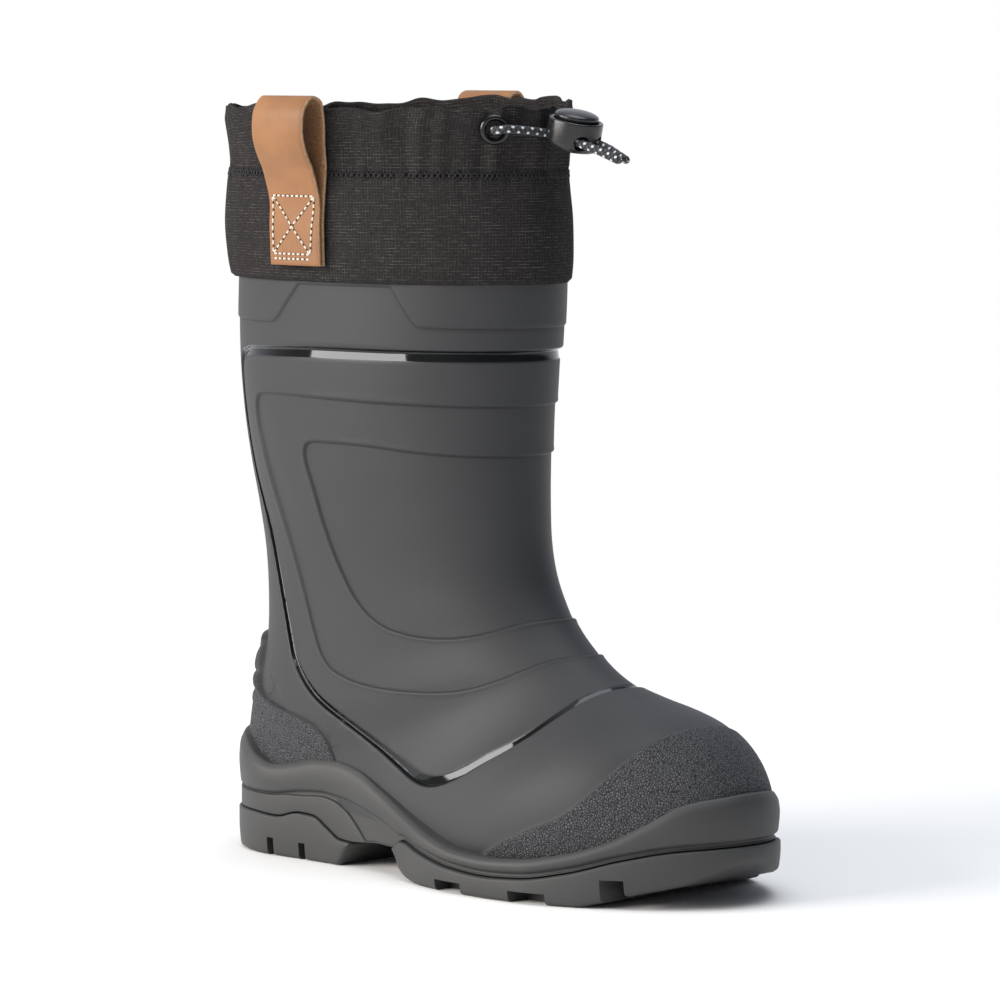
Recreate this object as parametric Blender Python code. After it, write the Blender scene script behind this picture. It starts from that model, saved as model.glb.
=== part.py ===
"""Rain boot, right foot: moulded shell on a lugged sole, textile collar with a drawcord and a cord lock.

The boot stands on its sole. +X points from heel to toe, +Y to the inner (medial) side and +Z up.
Sizes and tables are in millimetres and are scaled to metres when a mesh is made.
"""

import math

import bmesh
import bpy
import numpy as np
from mathutils import Matrix, Vector

MM = 0.001
MERGE = 0.000001            # metres, points nearer than this are one

# ---- driving dimensions -------------------------------------------------------------------------
SOLE_LENGTH = 250.0
HEEL_RADIUS = 40.0
BALL_HALF_WIDTH = 54.5
TOE_START = 184.0           # from here the outline rounds in to the toe
TOE_ROUNDNESS = 1.25        # 2 is an ellipse, less is more pointed
HEEL_END = 84.0             # front of the heel piece
FOREFOOT_START = 113.0      # back of the forefoot piece
TOE_SWING = 2.0             # how far the toe lies towards the inner side
SHAFT_LEAN = 2.0            # how far the shaft's top lies towards the outer side
SHELL_TOP = 231.0
SHELL_WALL = 4.8            # at the outermost level; 2.1 where all three panels are stepped in
STEP = 0.9                  # depth of one panel step
CLEARANCE = 0.3             # between neighbouring pieces
END_MARGIN = 0.2            # the outline's rounded ends close this near to heel and toe
CUFF_WALL = 2.0
INSOLE_THICKNESS = 3.6
CUFF_HEM = 216.0
ORIGIN = (122.9, -2.05, 0.0)  # the boot's bottom centre, measured from the back of the heel
BEYOND = 300.0              # farther out than any part, for cutters that run right through

# ---- cross-sections of the shell, from the top of the shaft round the instep to the toe ----------
# Each section lies in the plane through a front (or top) point and a back (or bottom) point.
# front_x, front_z, back_x, back_z, half_width, widest_at, front_round, back_round
SECTIONS = (
    (147.8, 231.0, -0.6, 231.0, 43.0, 0.50, 2.00, 2.00),
    (148.2, 216.0, -1.0, 216.0, 43.2, 0.50, 2.00, 2.00),
    (147.2, 200.0, -1.2, 199.0, 43.6, 0.50, 2.00, 2.00),
    (145.6, 183.0, -0.2, 181.0, 43.8, 0.50, 2.00, 2.00),
    (144.2, 166.0, 1.7, 163.0, 43.2, 0.50, 2.00, 2.00),
    (143.7, 150.0, 4.3, 146.0, 41.9, 0.50, 2.00, 2.00),
    (143.9, 136.0, 7.0, 130.0, 39.9, 0.50, 2.00, 2.00),
    (144.9, 122.0, 9.6, 113.0, 37.9, 0.50, 2.00, 2.05),
    (147.6, 110.5, 10.9, 96.0, 36.8, 0.50, 2.00, 2.15),
    (152.2, 101.2, 10.6, 78.0, 36.4, 0.50, 2.00, 2.25),
    (158.6, 92.6, 7.8, 58.0, 36.4, 0.52, 2.00, 2.40),
    (167.0, 84.8, 6.2, 38.0, 36.8, 0.54, 2.05, 2.60),
    (176.4, 78.4, 7.0, 12.0, 36.6, 0.58, 2.10, 2.80),
    (186.0, 73.4, 48.0, 2.0, 38.4, 0.64, 2.15, 3.00),
    (195.4, 70.0, 104.0, 2.0, 43.4, 0.70, 2.20, 3.00),
    (204.6, 67.2, 148.0, 3.0, 47.4, 0.72, 2.25, 3.00),
    (213.6, 64.4, 180.0, 4.0, 45.8, 0.74, 2.30, 3.00),
    (222.2, 61.0, 204.0, 6.0, 39.8, 0.74, 2.30, 3.00),
    (230.0, 57.0, 220.0, 8.5, 32.6, 0.74, 2.30, 3.00),
    (236.4, 52.0, 232.0, 11.5, 25.2, 0.72, 2.30, 3.00),
    (241.2, 46.4, 239.6, 15.0, 18.2, 0.68, 2.20, 2.60),
    (244.0, 40.4, 243.4, 20.0, 11.6, 0.60, 2.10, 2.20),
    (244.9, 34.0, 244.8, 26.4, 5.0, 0.50, 2.00, 2.00),
)
SWING_FADE_LOW = 80.0       # below this height the shell swings inwards with the sole
SWING_FADE_HIGH = 190.0     # above this height it leans outwards with the shaft

# ---- raised and stepped-in areas of the shell, seen from the side (x, z) --------------------------
PANEL_OUTER = (
    (170.0, 190.0), (120.0, 190.1), (60.0, 189.9), (40.0, 189.1), (24.0, 188.2), (17.5, 186.6), (14.0, 183.0),
    (13.0, 177.0), (13.6, 168.0), (17.0, 152.0), (22.6, 137.5), (29.2, 124.0), (33.0, 113.0), (40.2, 93.0),
    (44.0, 83.5), (48.6, 74.4), (54.5, 67.8), (62.5, 61.8), (71.0, 57.5), (80.0, 53.5), (89.0, 49.4), (98.0, 45.3),
    (107.0, 41.2), (115.0, 38.0), (121.5, 36.6), (129.0, 36.9), (135.5, 38.9), (143.0, 42.4), (151.0, 47.0),
    (160.0, 51.8), (167.5, 56.8), (175.5, 64.2), (181.0, 69.8), (185.5, 72.8), (190.0, 73.8), (200.0, 74.5),
)
PANEL_MIDDLE = (
    (170.0, 171.4), (120.0, 171.6), (80.0, 172.4), (58.0, 173.2), (44.0, 173.1), (36.0, 171.6), (32.4, 168.4),
    (31.6, 162.6), (33.8, 153.5), (38.2, 140.0), (45.8, 120.7), (53.5, 101.6), (60.7, 84.2), (64.4, 77.6),
    (69.4, 73.0), (77.6, 70.0), (87.4, 68.2), (98.0, 67.4), (110.0, 67.3), (123.0, 67.9), (133.0, 69.4), (143.0, 72.4),
    (150.5, 75.6), (157.0, 79.0), (162.0, 81.6), (167.0, 83.2), (180.0, 85.0),
)
PANEL_INNER = (
    (170.0, 154.6), (130.0, 154.7), (97.0, 156.0), (84.0, 157.0), (73.0, 157.2), (66.6, 156.0), (63.0, 153.4),
    (62.0, 149.5), (62.8, 142.7), (69.1, 123.6), (73.1, 115.0), (77.2, 107.4), (82.0, 100.4), (88.7, 94.3),
    (96.5, 90.2), (106.0, 88.0), (115.0, 87.2), (123.3, 87.4), (131.0, 88.4), (139.0, 90.3), (145.0, 92.4),
    (150.5, 94.6), (156.0, 96.0), (170.0, 97.0),
)
TOE_CAP = (
    (150.0, 8.0), (161.0, 14.6), (172.0, 20.4), (185.0, 26.2), (196.4, 31.0), (205.0, 38.0), (212.4, 46.8),
    (218.4, 55.8), (222.6, 61.8), (228.0, 68.6),
)
HEEL_COUNTER = (
    (-8.0, 84.0), (4.0, 81.5), (9.5, 77.0), (13.0, 70.0), (17.2, 63.8), (21.5, 60.9), (27.0, 59.2), (36.0, 56.6),
    (45.0, 54.6), (54.0, 53.6), (60.5, 52.2), (65.8, 49.6), (69.8, 46.2), (72.6, 42.0), (75.0, 37.4), (77.0, 32.0),
)
OVERLAY_RAISE = 0.8
COLLAR_RAISE = 0.6
COLLAR_LINE = 200.4         # the raised band under the textile collar starts here
PLAQUE = ((49.8, 200.4), (63.0, 214.0), (109.0, 214.0), (117.4, 200.4))
KICK_RIDGES = (72.6, 66.0, 59.4, 52.8)
KICK_RIDGE_REACH = 3.6      # x of the ridges' rear edge
KICK_RIDGE_RADIUS = 31.0
KICK_RIDGE_HEIGHT = 6.0

# ---- heights along the sole's side (x, z) ---------------------------------------------------------
BAND_TOP = (
    (0.0, 45.0), (10.0, 44.0), (20.0, 40.6), (31.0, 36.2), (41.0, 34.4), (52.0, 36.0), (64.0, 38.4), (74.0, 38.8),
    (85.0, 37.0), (101.0, 30.8), (112.0, 26.6), (124.0, 22.4), (138.0, 18.2), (152.0, 15.4), (166.0, 14.6),
    (184.0, 15.6), (202.0, 19.0), (216.0, 24.0), (228.0, 31.0), (238.0, 37.4), (250.0, 40.4),
)
BAND_BOTTOM = (
    (0.0, 25.0), (20.0, 23.6), (40.0, 23.4), (56.0, 25.4), (68.0, 26.2), (80.0, 25.0), (92.0, 22.6), (104.0, 19.6),
    (118.0, 15.4), (130.0, 12.6), (148.0, 9.4), (166.0, 8.2), (184.0, 9.0), (202.0, 12.2), (220.0, 17.6),
    (236.0, 21.0), (250.0, 22.6),
)
HEEL_BLOCK_TOP = (
    (0.0, 24.0), (20.0, 22.8), (56.0, 23.8), (68.0, 24.6), (74.0, 23.8), (81.0, 20.8), (88.0, 15.2), (95.0, 9.0),
    (99.0, 7.0), (250.0, 7.0),
)
MIDSOLE_BOTTOM = (
    (0.0, 15.4), (30.0, 15.6), (44.0, 15.0), (56.0, 17.4), (64.0, 17.0), (72.0, 13.0), (78.0, 9.8), (84.0, 9.3),
    (100.0, 10.6), (110.0, 10.6), (113.0, 12.0), (118.5, 14.4), (130.0, 12.0), (148.0, 8.9), (166.0, 7.7),
    (184.0, 8.5), (202.0, 11.7), (220.0, 17.0), (236.0, 20.6), (250.0, 22.0),
)
FOREFOOT_TOP = (
    (113.0, 11.6), (118.5, 14.4), (130.0, 12.0), (148.0, 8.9), (166.0, 7.7), (184.0, 8.5), (202.0, 11.7),
    (220.0, 17.0), (236.0, 20.6), (250.0, 22.0),
)
FOREFOOT_BOTTOM = (
    (113.0, 9.6), (118.0, 2.6), (123.6, 0.6), (130.0, 0.0), (204.0, 0.0), (212.0, 1.6), (222.0, 4.8),
    (236.0, 8.4), (244.0, 12.2), (250.0, 16.0),
)
HEEL_TOP = (
    (0.0, 15.4), (30.0, 15.6), (44.0, 15.0), (56.0, 17.4), (64.0, 17.0), (72.0, 13.0), (78.0, 9.8), (84.0, 9.2),
)
HEEL_BOTTOM = ((0.0, 1.6), (6.0, 0.0), (76.0, 0.0), (84.0, 8.4))

CUP_FLOOR = (
    (0.0, 22.0), (50.0, 22.0), (80.0, 20.6), (104.0, 18.4), (120.0, 17.0), (140.0, 14.2), (166.0, 12.6),
    (186.0, 13.0), (204.0, 15.6), (220.0, 20.0), (236.0, 24.0), (250.0, 27.0),
)

# ---- the sole's outline between heel and toe: x, half width ---------------------------------------
SOLE_WIDTHS = (
    (40.0, HEEL_RADIUS), (62.0, 39.6), (80.0, 39.8), (100.0, 42.4), (118.0, 47.0), (136.0, 52.0), (152.0, 54.2),
    (168.0, BALL_HALF_WIDTH), (TOE_START, 53.2),
)

# ---- cuts in the sole's edge: start and end along x, height, depth inwards ------------------------
FOREFOOT_NOTCHES = (
    (142.5, 156.5, 4.2, 9.0),
    (179.5, 194.5, 4.2, 9.0),
    (213.5, 221.0, 10.5, 11.0),
)
HEEL_NOTCHES = (
    (39.6, 43.0, 6.8, 5.0),
    (56.4, 59.8, 6.4, 5.0),
)
REAR_NOTCHES = (6.4, 12.2)   # heights of the two small cuts at the back of the heel
REAR_NOTCH_HEIGHT = 2.6
REAR_NOTCH_FRONT = 2.6       # x that the small cuts reach to
REAR_NOTCH_HALF = 24.0
TREAD_DEPTH = 3.2
TREAD_WIDTH = 4.0
FOREFOOT_TREAD = (135.0, 168.0, 205.0)
FOREFOOT_TREAD_SIDES = (-32.0, 32.0)
HEEL_TREAD = (22.0, 48.0)
HEEL_TREAD_SIDES = (-22.0, 22.0)

# ---- textile collar, loops, eyelets, drawcord and cord lock ---------------------------------------
# front_x, front_z, back_x, back_z, half_width, front_round, back_round, front_lean
CUFF_SECTIONS = (
    (150.8, 216.0, -3.4, 216.0, 45.9, 2.00, 2.10, 1.0),
    (151.9, 225.0, -4.0, 224.0, 46.4, 2.00, 2.20, 1.0),
    (151.8, 240.0, -3.2, 237.0, 46.8, 1.95, 2.35, 0.7),
    (149.4, 255.5, -0.8, 251.0, 46.4, 1.90, 2.40, 0.3),
    (148.9, 261.0, 0.4, 256.0, 46.4, 1.90, 2.40, 0.1),
    (150.0, 272.0, 1.4, 266.5, 47.8, 1.85, 2.50, 0.0),
    (152.4, 284.0, 0.6, 279.0, 48.8, 1.85, 2.50, 0.0),
)
LOOP_BACK = {"lateral": 55.0, "medial": 54.0}
LOOP_WIDTH = 28.0
LOOP_THICKNESS = 2.0
LOOP_COLUMNS = 3
# distance outwards from the collar's side, and height
LOOP_PATH = (
    (4.0, 222.0), (4.0, 234.0), (4.0, 246.0), (6.6, 255.0), (10.4, 264.0), (12.0, 271.6), (10.8, 278.8),
    (6.6, 283.2), (2.6, 281.8), (1.5, 276.6), (1.5, 267.0), (1.5, 257.0), (1.5, 247.0), (1.5, 238.0), (1.5, 230.0),
    (1.5, 222.0),
)
EYELET_AT = (20.5, 272.0)           # distance from the middle, and height
EYELET_OUTER = 5.6
EYELET_HOLE = 3.2
EYELET_HEIGHT = 1.4
EYELET_LIFT = 0.7
CORD_RADIUS = 1.55
LOCK_CENTRE = (161.2, 0.0, 270.2)
LOCK_TILT = 13.0                    # degrees, the top leans forwards
LOCK_RADIUS = 9.9
LOCK_HEIGHT = 11.0
LOCK_HOLE_RADIUS = 2.3
LOCK_HOLE_AT = (4.3, -1.5)          # distance from the middle, and height above the lock's centre
LOCK_SLOT = (-3.6, 9.4, -3.6, 0.6)  # rear slot: its front end, half width, lowest and highest point
BUTTON_RADIUS = 8.0
BUTTON_PROUD = 3.4
BUTTON_EDGE = 1.3
BUTTON_SKIRT = 1.4
BUTTON_TRAVEL = 2.2
CORD_START = (1.0, 3.6)             # distances from the collar's face, straight out of the eyelet
CORD_ROUTE = (
    (147.4, 21.0, 272.1), (149.8, 17.2, 271.9), (151.9, 12.8, 271.5),
    (153.2, 8.4, 270.9), (155.6, 5.2, 270.1), (158.6, 4.4, 269.3), (164.0, 4.3, 268.0), (170.3, 4.1, 266.5),
    (176.0, 3.4, 264.8), (181.0, 2.5, 262.9), (186.0, 1.85, 261.0),
)

SHAFT_SIDES = 28
INNER_SIDES = 18
PLAIN_BELOW = 8             # sections of the straight shaft, which need no row between them
PLAIN_ABOVE = 18            # and the ones at the toe, which lie close together


# ---- helpers --------------------------------------------------------------------------------------
def clear_scene():
    for item in list(bpy.data.objects):
        bpy.data.objects.remove(item, do_unlink=True)


def material(name, colour, roughness, metallic=0.0):
    result = bpy.data.materials.new(name)
    result.use_nodes = True
    shader = result.node_tree.nodes["Principled BSDF"]
    shader.inputs["Base Color"].default_value = (*colour, 1.0)
    shader.inputs["Roughness"].default_value = roughness
    shader.inputs["Metallic"].default_value = metallic
    result.diffuse_color = (*colour, 1.0)
    return result


def make_object(name, vertices, faces):
    mesh = bpy.data.meshes.new(name)
    mesh.from_pydata([Vector(v) * MM for v in vertices], [], faces)
    mesh.validate()
    result = bpy.data.objects.new(name, mesh)
    bpy.context.collection.objects.link(result)
    return result


def finish_object(item, look):
    """Triangle-clean the mesh, shade it smooth and give it its material and place."""
    work = bmesh.new()
    work.from_mesh(item.data)
    bmesh.ops.remove_doubles(work, verts=work.verts, dist=MERGE)
    bmesh.ops.dissolve_degenerate(work, edges=work.edges, dist=MERGE)
    bmesh.ops.triangulate(work, faces=[f for f in work.faces if len(f.verts) > 3])
    work.to_mesh(item.data)
    work.free()
    item.data.shade_smooth()
    item.data.set_sharp_from_angle(angle=math.radians(32))
    item.data.materials.clear()
    item.data.materials.append(look)
    item.location = Vector(ORIGIN) * -MM
    return item


def boolean(target, cutter, operation):
    """Cut, join or intersect target with cutter, and remove the cutter."""
    step = target.modifiers.new("cut", "BOOLEAN")
    step.operation = operation
    step.solver = "EXACT"
    step.object = cutter
    depsgraph = bpy.context.evaluated_depsgraph_get()
    depsgraph.update()
    result = bpy.data.meshes.new_from_object(target.evaluated_get(depsgraph))
    target.modifiers.clear()
    target.data = result
    bpy.data.objects.remove(cutter, do_unlink=True)
    return target


def cubic(table, positions):
    """Smooth curve through the rows of table, one row per whole position (Catmull-Rom)."""
    rows = np.asarray(table, dtype=float)
    last = len(rows) - 1
    where = np.clip(np.asarray(positions, dtype=float), 0.0, last)
    index = np.minimum(where.astype(int), last - 1)
    part = (where - index)[:, None]
    p1 = rows[index]
    p2 = rows[index + 1]
    p0 = np.where((index > 0)[:, None], rows[np.maximum(index - 1, 0)], 2 * p1 - p2)
    p3 = np.where((index < last - 1)[:, None], rows[np.minimum(index + 2, last)], 2 * p2 - p1)
    slope1 = 0.5 * (p2 - p0)
    slope2 = 0.5 * (p3 - p1)
    a = 2 * part**3 - 3 * part**2 + 1
    b = part**3 - 2 * part**2 + part
    c = -2 * part**3 + 3 * part**2
    d = part**3 - part**2
    return a * p1 + b * slope1 + c * p2 + d * slope2


def smooth_path(points, steps):
    count = (len(points) - 1) * steps + 1
    return cubic(points, np.linspace(0.0, len(points) - 1, count))


def height_at(table, x):
    """Height of a side line at x, smooth between the rows and never past them."""
    rows = np.asarray(table, dtype=float)
    x = np.clip(np.asarray(x, dtype=float), rows[0, 0], rows[-1, 0])
    chord = np.diff(rows[:, 1]) / np.diff(rows[:, 0])
    same = chord[1:] * chord[:-1] > 0.0
    safe = np.where(same, chord[1:] + chord[:-1], 1.0)
    inner = np.where(same, 2.0 * chord[1:] * chord[:-1] / safe, 0.0)
    slope = np.concatenate([chord[:1], inner, chord[-1:]])
    index = np.clip(np.searchsorted(rows[:, 0], x, side="right") - 1, 0, len(rows) - 2)
    width = rows[index + 1, 0] - rows[index, 0]
    part = (x - rows[index, 0]) / width
    a = 2 * part**3 - 3 * part**2 + 1
    b = (part**3 - 2 * part**2 + part) * width
    c = -2 * part**3 + 3 * part**2
    d = (part**3 - part**2) * width
    return a * rows[index, 1] + b * slope[index] + c * rows[index + 1, 1] + d * slope[index + 1]


def swing(x, z):
    """How far the boot's centre line lies towards the inner side at a point."""
    share = np.clip((z - SWING_FADE_LOW) / (SWING_FADE_HIGH - SWING_FADE_LOW), 0.0, 1.0)
    share = share * share * (3.0 - 2.0 * share)
    return TOE_SWING * (np.clip(x, 0.0, None) / SOLE_LENGTH) ** 2 * (1.0 - share) - SHAFT_LEAN * share


def shell_point(position, angle):
    """Points of the shell's outermost surface, for arrays of section positions and angles."""
    row = cubic(SECTIONS, position)[:, None, :]
    front_x, front_z, back_x, back_z, half, widest, front_round, back_round = np.moveaxis(row, 2, 0)
    cosine = np.cos(angle)[None, :]
    sine = np.sin(angle)[None, :]
    power = 2.0 / np.where(cosine >= 0.0, front_round, back_round)
    along = np.abs(cosine) ** power
    across = np.abs(sine) ** power
    share = np.where(cosine >= 0.0, widest * (1.0 - along), widest + (1.0 - widest) * along)
    x = front_x + (back_x - front_x) * share
    z = front_z + (back_z - front_z) * share
    y = half * across * np.sign(sine) + swing(x, z)
    return np.stack([x, y, z], axis=2)


def shell_rings(offset, sides, positions):
    """Rings of the shell's surface moved outwards by offset."""
    tiny = 0.002
    angle = np.arange(sides) * 2.0 * math.pi / sides
    here = shell_point(positions, angle)
    before = np.clip(positions - tiny, 0.0, None)
    after = np.clip(positions + tiny, None, len(SECTIONS) - 1.0)
    along = shell_point(after, angle) - shell_point(before, angle)
    around = shell_point(positions, angle + tiny) - shell_point(positions, angle - tiny)
    normal = np.cross(along, around)
    normal /= np.linalg.norm(normal, axis=2, keepdims=True)
    return here + offset * normal


def ring_solid(name, rings, first_centre=None, last_centre=None):
    """Closed solid through rings of equal length, with a fan at both ends."""
    count = len(rings[0])
    vertices = [tuple(p) for ring in rings for p in ring]
    faces = []
    for level in range(len(rings) - 1):
        low = level * count
        high = low + count
        for i in range(count):
            j = (i + 1) % count
            faces.append((low + i, high + i, high + j, low + j))
    start = first_centre if first_centre is not None else np.mean(rings[0], axis=0)
    end = last_centre if last_centre is not None else np.mean(rings[-1], axis=0)
    vertices.append(tuple(start))
    vertices.append(tuple(end))
    top = (len(rings) - 1) * count
    for i in range(count):
        j = (i + 1) % count
        faces.append((i, j, len(vertices) - 2))
        faces.append((top + j, top + i, len(vertices) - 1))
    return make_object(name, vertices, faces)


def outward(item):
    """Turn the mesh's faces so that they point out."""
    work = bmesh.new()
    work.from_mesh(item.data)
    bmesh.ops.recalc_face_normals(work, faces=work.faces)
    if work.calc_volume(signed=True) < 0.0:
        bmesh.ops.reverse_faces(work, faces=work.faces)
    work.to_mesh(item.data)
    work.free()
    return item


def shell_form(name, offset, sides=SHAFT_SIDES, fine=True, top=None):
    """Closed solid of the shell's outer form moved outwards by offset."""
    positions = np.arange(0.0, len(SECTIONS))
    if fine:
        positions = np.sort(np.concatenate([positions, np.arange(PLAIN_BELOW, PLAIN_ABOVE) + 0.5]))
    rings = shell_rings(offset, sides, positions)
    rings[0, :, 2] = SHELL_TOP if top is None else top
    rings = list(rings)
    tip = np.mean(rings[-1], axis=0) + np.array([0.6, 0.0, 0.0])
    return outward(ring_solid(name, rings, last_centre=tip))


def prism(name, outline, low=-BEYOND, high=BEYOND):
    """Solid with an outline given from the side, running across the boot."""
    count = len(outline)
    vertices = [(x, low, z) for x, z in outline] + [(x, high, z) for x, z in outline]
    faces = [tuple(range(count)), tuple(range(2 * count - 1, count - 1, -1))]
    for i in range(count):
        j = (i + 1) % count
        faces.append((i, i + count, j + count, j))
    return outward(make_object(name, vertices, faces))


def block(name, low, high):
    outline = ((low[0], low[2]), (high[0], low[2]), (high[0], high[2]), (low[0], high[2]))
    return prism(name, outline, low[1], high[1])


def closed_in_front(points):
    """A side line whose ends are joined in front of the boot."""
    return list(points) + [(BEYOND, points[-1][1]), (BEYOND, points[0][1])]


def closed_behind(points):
    """A side line whose ends are joined behind the boot."""
    return list(points) + [(-BEYOND, points[-1][1]), (-BEYOND, points[0][1])]


# ---- shell ----------------------------------------------------------------------------------------
def step_in(shell, outline, depth):
    """Lower the shell's surface by depth inside an outline seen from the side."""
    cutter = prism("cutter", outline)
    boolean(cutter, shell_form("core", -depth), "DIFFERENCE")
    return boolean(shell, cutter, "DIFFERENCE")


def raise_up(shell, outline, height):
    """Raise the shell's surface by height inside an outline seen from the side."""
    patch = shell_form("patch", height)
    boolean(patch, prism("limit", outline), "INTERSECT")
    return boolean(shell, patch, "UNION")


def raise_collar(shell):
    """The band under the textile collar, left low where the plaque's frame is on the outer side."""
    band = shell_form("band", COLLAR_RAISE)
    low = (-BEYOND, -BEYOND, COLLAR_LINE)
    high = (BEYOND, BEYOND, CUFF_HEM - 1.0)
    boolean(band, block("limit", low, high), "INTERSECT")
    boolean(band, prism("plaque", PLAQUE, high=0.0), "DIFFERENCE")
    return boolean(shell, band, "UNION")


def kick_ridge(height):
    """Rounded disc whose rim stands out of the back of the heel."""
    rings = []
    sides = 26
    half = KICK_RIDGE_HEIGHT / 2.0
    for angle in np.linspace(-0.5 * math.pi, 0.5 * math.pi, 5):
        radius = KICK_RIDGE_RADIUS - half * (1.0 - math.cos(angle))
        z = height + half * math.sin(angle)
        turn = [2.0 * math.pi * i / sides for i in range(sides)]
        centre = KICK_RIDGE_REACH + KICK_RIDGE_RADIUS
        rings.append([(centre + radius * math.cos(t), radius * math.sin(t), z) for t in turn])
    return outward(ring_solid("ridge", rings))


def under_floor(name, gap):
    """Solid of everything below the foot bed, raised by gap."""
    top = [(x, z + gap) for x, z in CUP_FLOOR]
    ends = [(BEYOND, top[-1][1]), (BEYOND, -BEYOND), (-BEYOND, -BEYOND), (-BEYOND, top[0][1])]
    return prism(name, top + ends)


def make_upper(look):
    shell = shell_form("upper", 0.0)
    raise_collar(shell)
    step_in(shell, closed_in_front(PANEL_OUTER), STEP)
    step_in(shell, closed_in_front(PANEL_MIDDLE), 2.0 * STEP)
    step_in(shell, closed_in_front(PANEL_INNER), 3.0 * STEP)
    raise_up(shell, closed_in_front(TOE_CAP), OVERLAY_RAISE)
    raise_up(shell, closed_behind(HEEL_COUNTER), OVERLAY_RAISE)
    for height in KICK_RIDGES:
        boolean(shell, kick_ridge(height), "UNION")
    inside = shell_form("inside", -SHELL_WALL, sides=INNER_SIDES, fine=False, top=SHELL_TOP + 20.0)
    boolean(shell, inside, "DIFFERENCE")
    boolean(shell, under_floor("below", CLEARANCE), "DIFFERENCE")
    return finish_object(shell, look)


# ---- sole -----------------------------------------------------------------------------------------
def sole_half_width(x):
    """Half width of the sole's outline at x."""
    ball = SOLE_WIDTHS[-1][1]
    toe_share = np.clip((x - TOE_START) / (SOLE_LENGTH - TOE_START), 0.0, 1.0)
    heel_share = np.clip((HEEL_RADIUS - x) / HEEL_RADIUS, 0.0, 1.0)
    toe = ball * np.sqrt(np.clip(1.0 - toe_share**TOE_ROUNDNESS, 0.0, None))
    heel = HEEL_RADIUS * np.sqrt(np.clip(1.0 - heel_share**2, 0.0, None))
    return np.where(x < HEEL_RADIUS, heel, np.where(x > TOE_START, toe, height_at(SOLE_WIDTHS, x)))


def heel_stations():
    """Positions along the heel piece, closer together round the back."""
    share = 1.0 - np.cos(0.5 * math.pi * np.linspace(0.0, 1.0, 15))
    return END_MARGIN + (HEEL_END - END_MARGIN) * share


def forefoot_stations():
    """Positions along the forefoot piece, closer together round the toe."""
    share = np.sin(0.5 * math.pi * np.linspace(0.0, 1.0, 21))
    return FOREFOOT_START + (SOLE_LENGTH - END_MARGIN - FOREFOOT_START) * share


def outline_ring(xs, offset):
    """Outline from the back, along the outer side to the front and back along the inner side."""
    half = sole_half_width(xs)
    tiny = 0.01
    low = np.clip(xs - tiny, 0.0, None)
    high = np.clip(xs + tiny, None, SOLE_LENGTH)
    slope = (sole_half_width(high) - sole_half_width(low)) / (high - low)
    centre = swing(xs, 0.0)
    length = np.sqrt(1.0 + slope**2)
    out_x = xs - offset * slope / length
    out_y = half + offset / length
    outer = np.stack([out_x, centre - out_y], axis=1)
    inner = np.stack([out_x, centre + out_y], axis=1)
    return outer, inner


def sole_solid(name, xs, profile):
    """Solid with rows of (offset, heights along xs), from the bottom edge to the top edge."""
    count = len(xs)
    vertices = []
    for offset, heights in profile:
        outer, inner = outline_ring(xs, offset)
        for (x, y), z in zip(outer, heights):
            vertices.append((x, y, z))
        for (x, y), z in zip(inner[::-1], heights[::-1]):
            vertices.append((x, y, z))
    around = 2 * count
    faces = []
    for level in range(len(profile) - 1):
        low = level * around
        high = low + around
        for i in range(around):
            j = (i + 1) % around
            faces.append((low + i, low + j, high + j, high + i))
    top = (len(profile) - 1) * around
    for i in range(count - 1):
        mirror = around - 1 - i
        faces.append((i + 1, i, mirror, mirror - 1))
        faces.append((top + i, top + i + 1, top + mirror - 1, top + mirror))
    return outward(make_object(name, vertices, faces))


def make_midsole(look):
    arch = np.linspace(HEEL_END, FOREFOOT_START, 5)[1:-1]
    xs = np.concatenate([heel_stations(), arch, forefoot_stations()])
    bottom = height_at(MIDSOLE_BOTTOM, xs) + CLEARANCE
    top = height_at(BAND_TOP, xs)
    band = np.maximum(height_at(BAND_BOTTOM, xs), bottom + 1.6)
    step = np.clip(height_at(HEEL_BLOCK_TOP, xs), bottom + 0.5, band - 0.7)
    profile = (                                         # distance out from the outline, height
        (-2.6, bottom),
        (-1.2, bottom + 0.3),
        (-1.2, step),
        (-2.4, step + 0.4),
        (-2.4, band),
        (-0.9, band + 0.9),
        (-0.3, 0.50 * band + 0.50 * top),
        (-0.8, 0.18 * band + 0.82 * top),
        (-2.4, top),
        (-8.0, top - 0.4),
    )
    sole = sole_solid("midsole", xs, profile)
    hollow = shell_form("hollow", CLEARANCE + OVERLAY_RAISE)
    boolean(hollow, under_floor("floor", 0.0), "DIFFERENCE")
    boolean(sole, hollow, "DIFFERENCE")
    return finish_object(sole, look)


def cut_notches(sole, notches):
    """Cut the lug gaps into both edges of an outsole piece."""
    for start, end, height, depth in notches:
        middle = 0.5 * (start + end)
        half = float(sole_half_width(np.array([middle]))[0])
        centre = float(swing(middle, 0.0))
        for side in (-1.0, 1.0):
            edges = sorted((centre + side * (half - depth), side * BEYOND))
            cutter = block("notch", (start, edges[0], -BEYOND), (end, edges[1], height))
            boolean(sole, cutter, "DIFFERENCE")
    return sole


def cut_tread(sole, places, sides):
    """Cut grooves across the underside."""
    for x in places:
        groove = block("groove", (x, sides[0], -BEYOND), (x + TREAD_WIDTH, sides[1], TREAD_DEPTH))
        boolean(sole, groove, "DIFFERENCE")
    return sole


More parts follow.
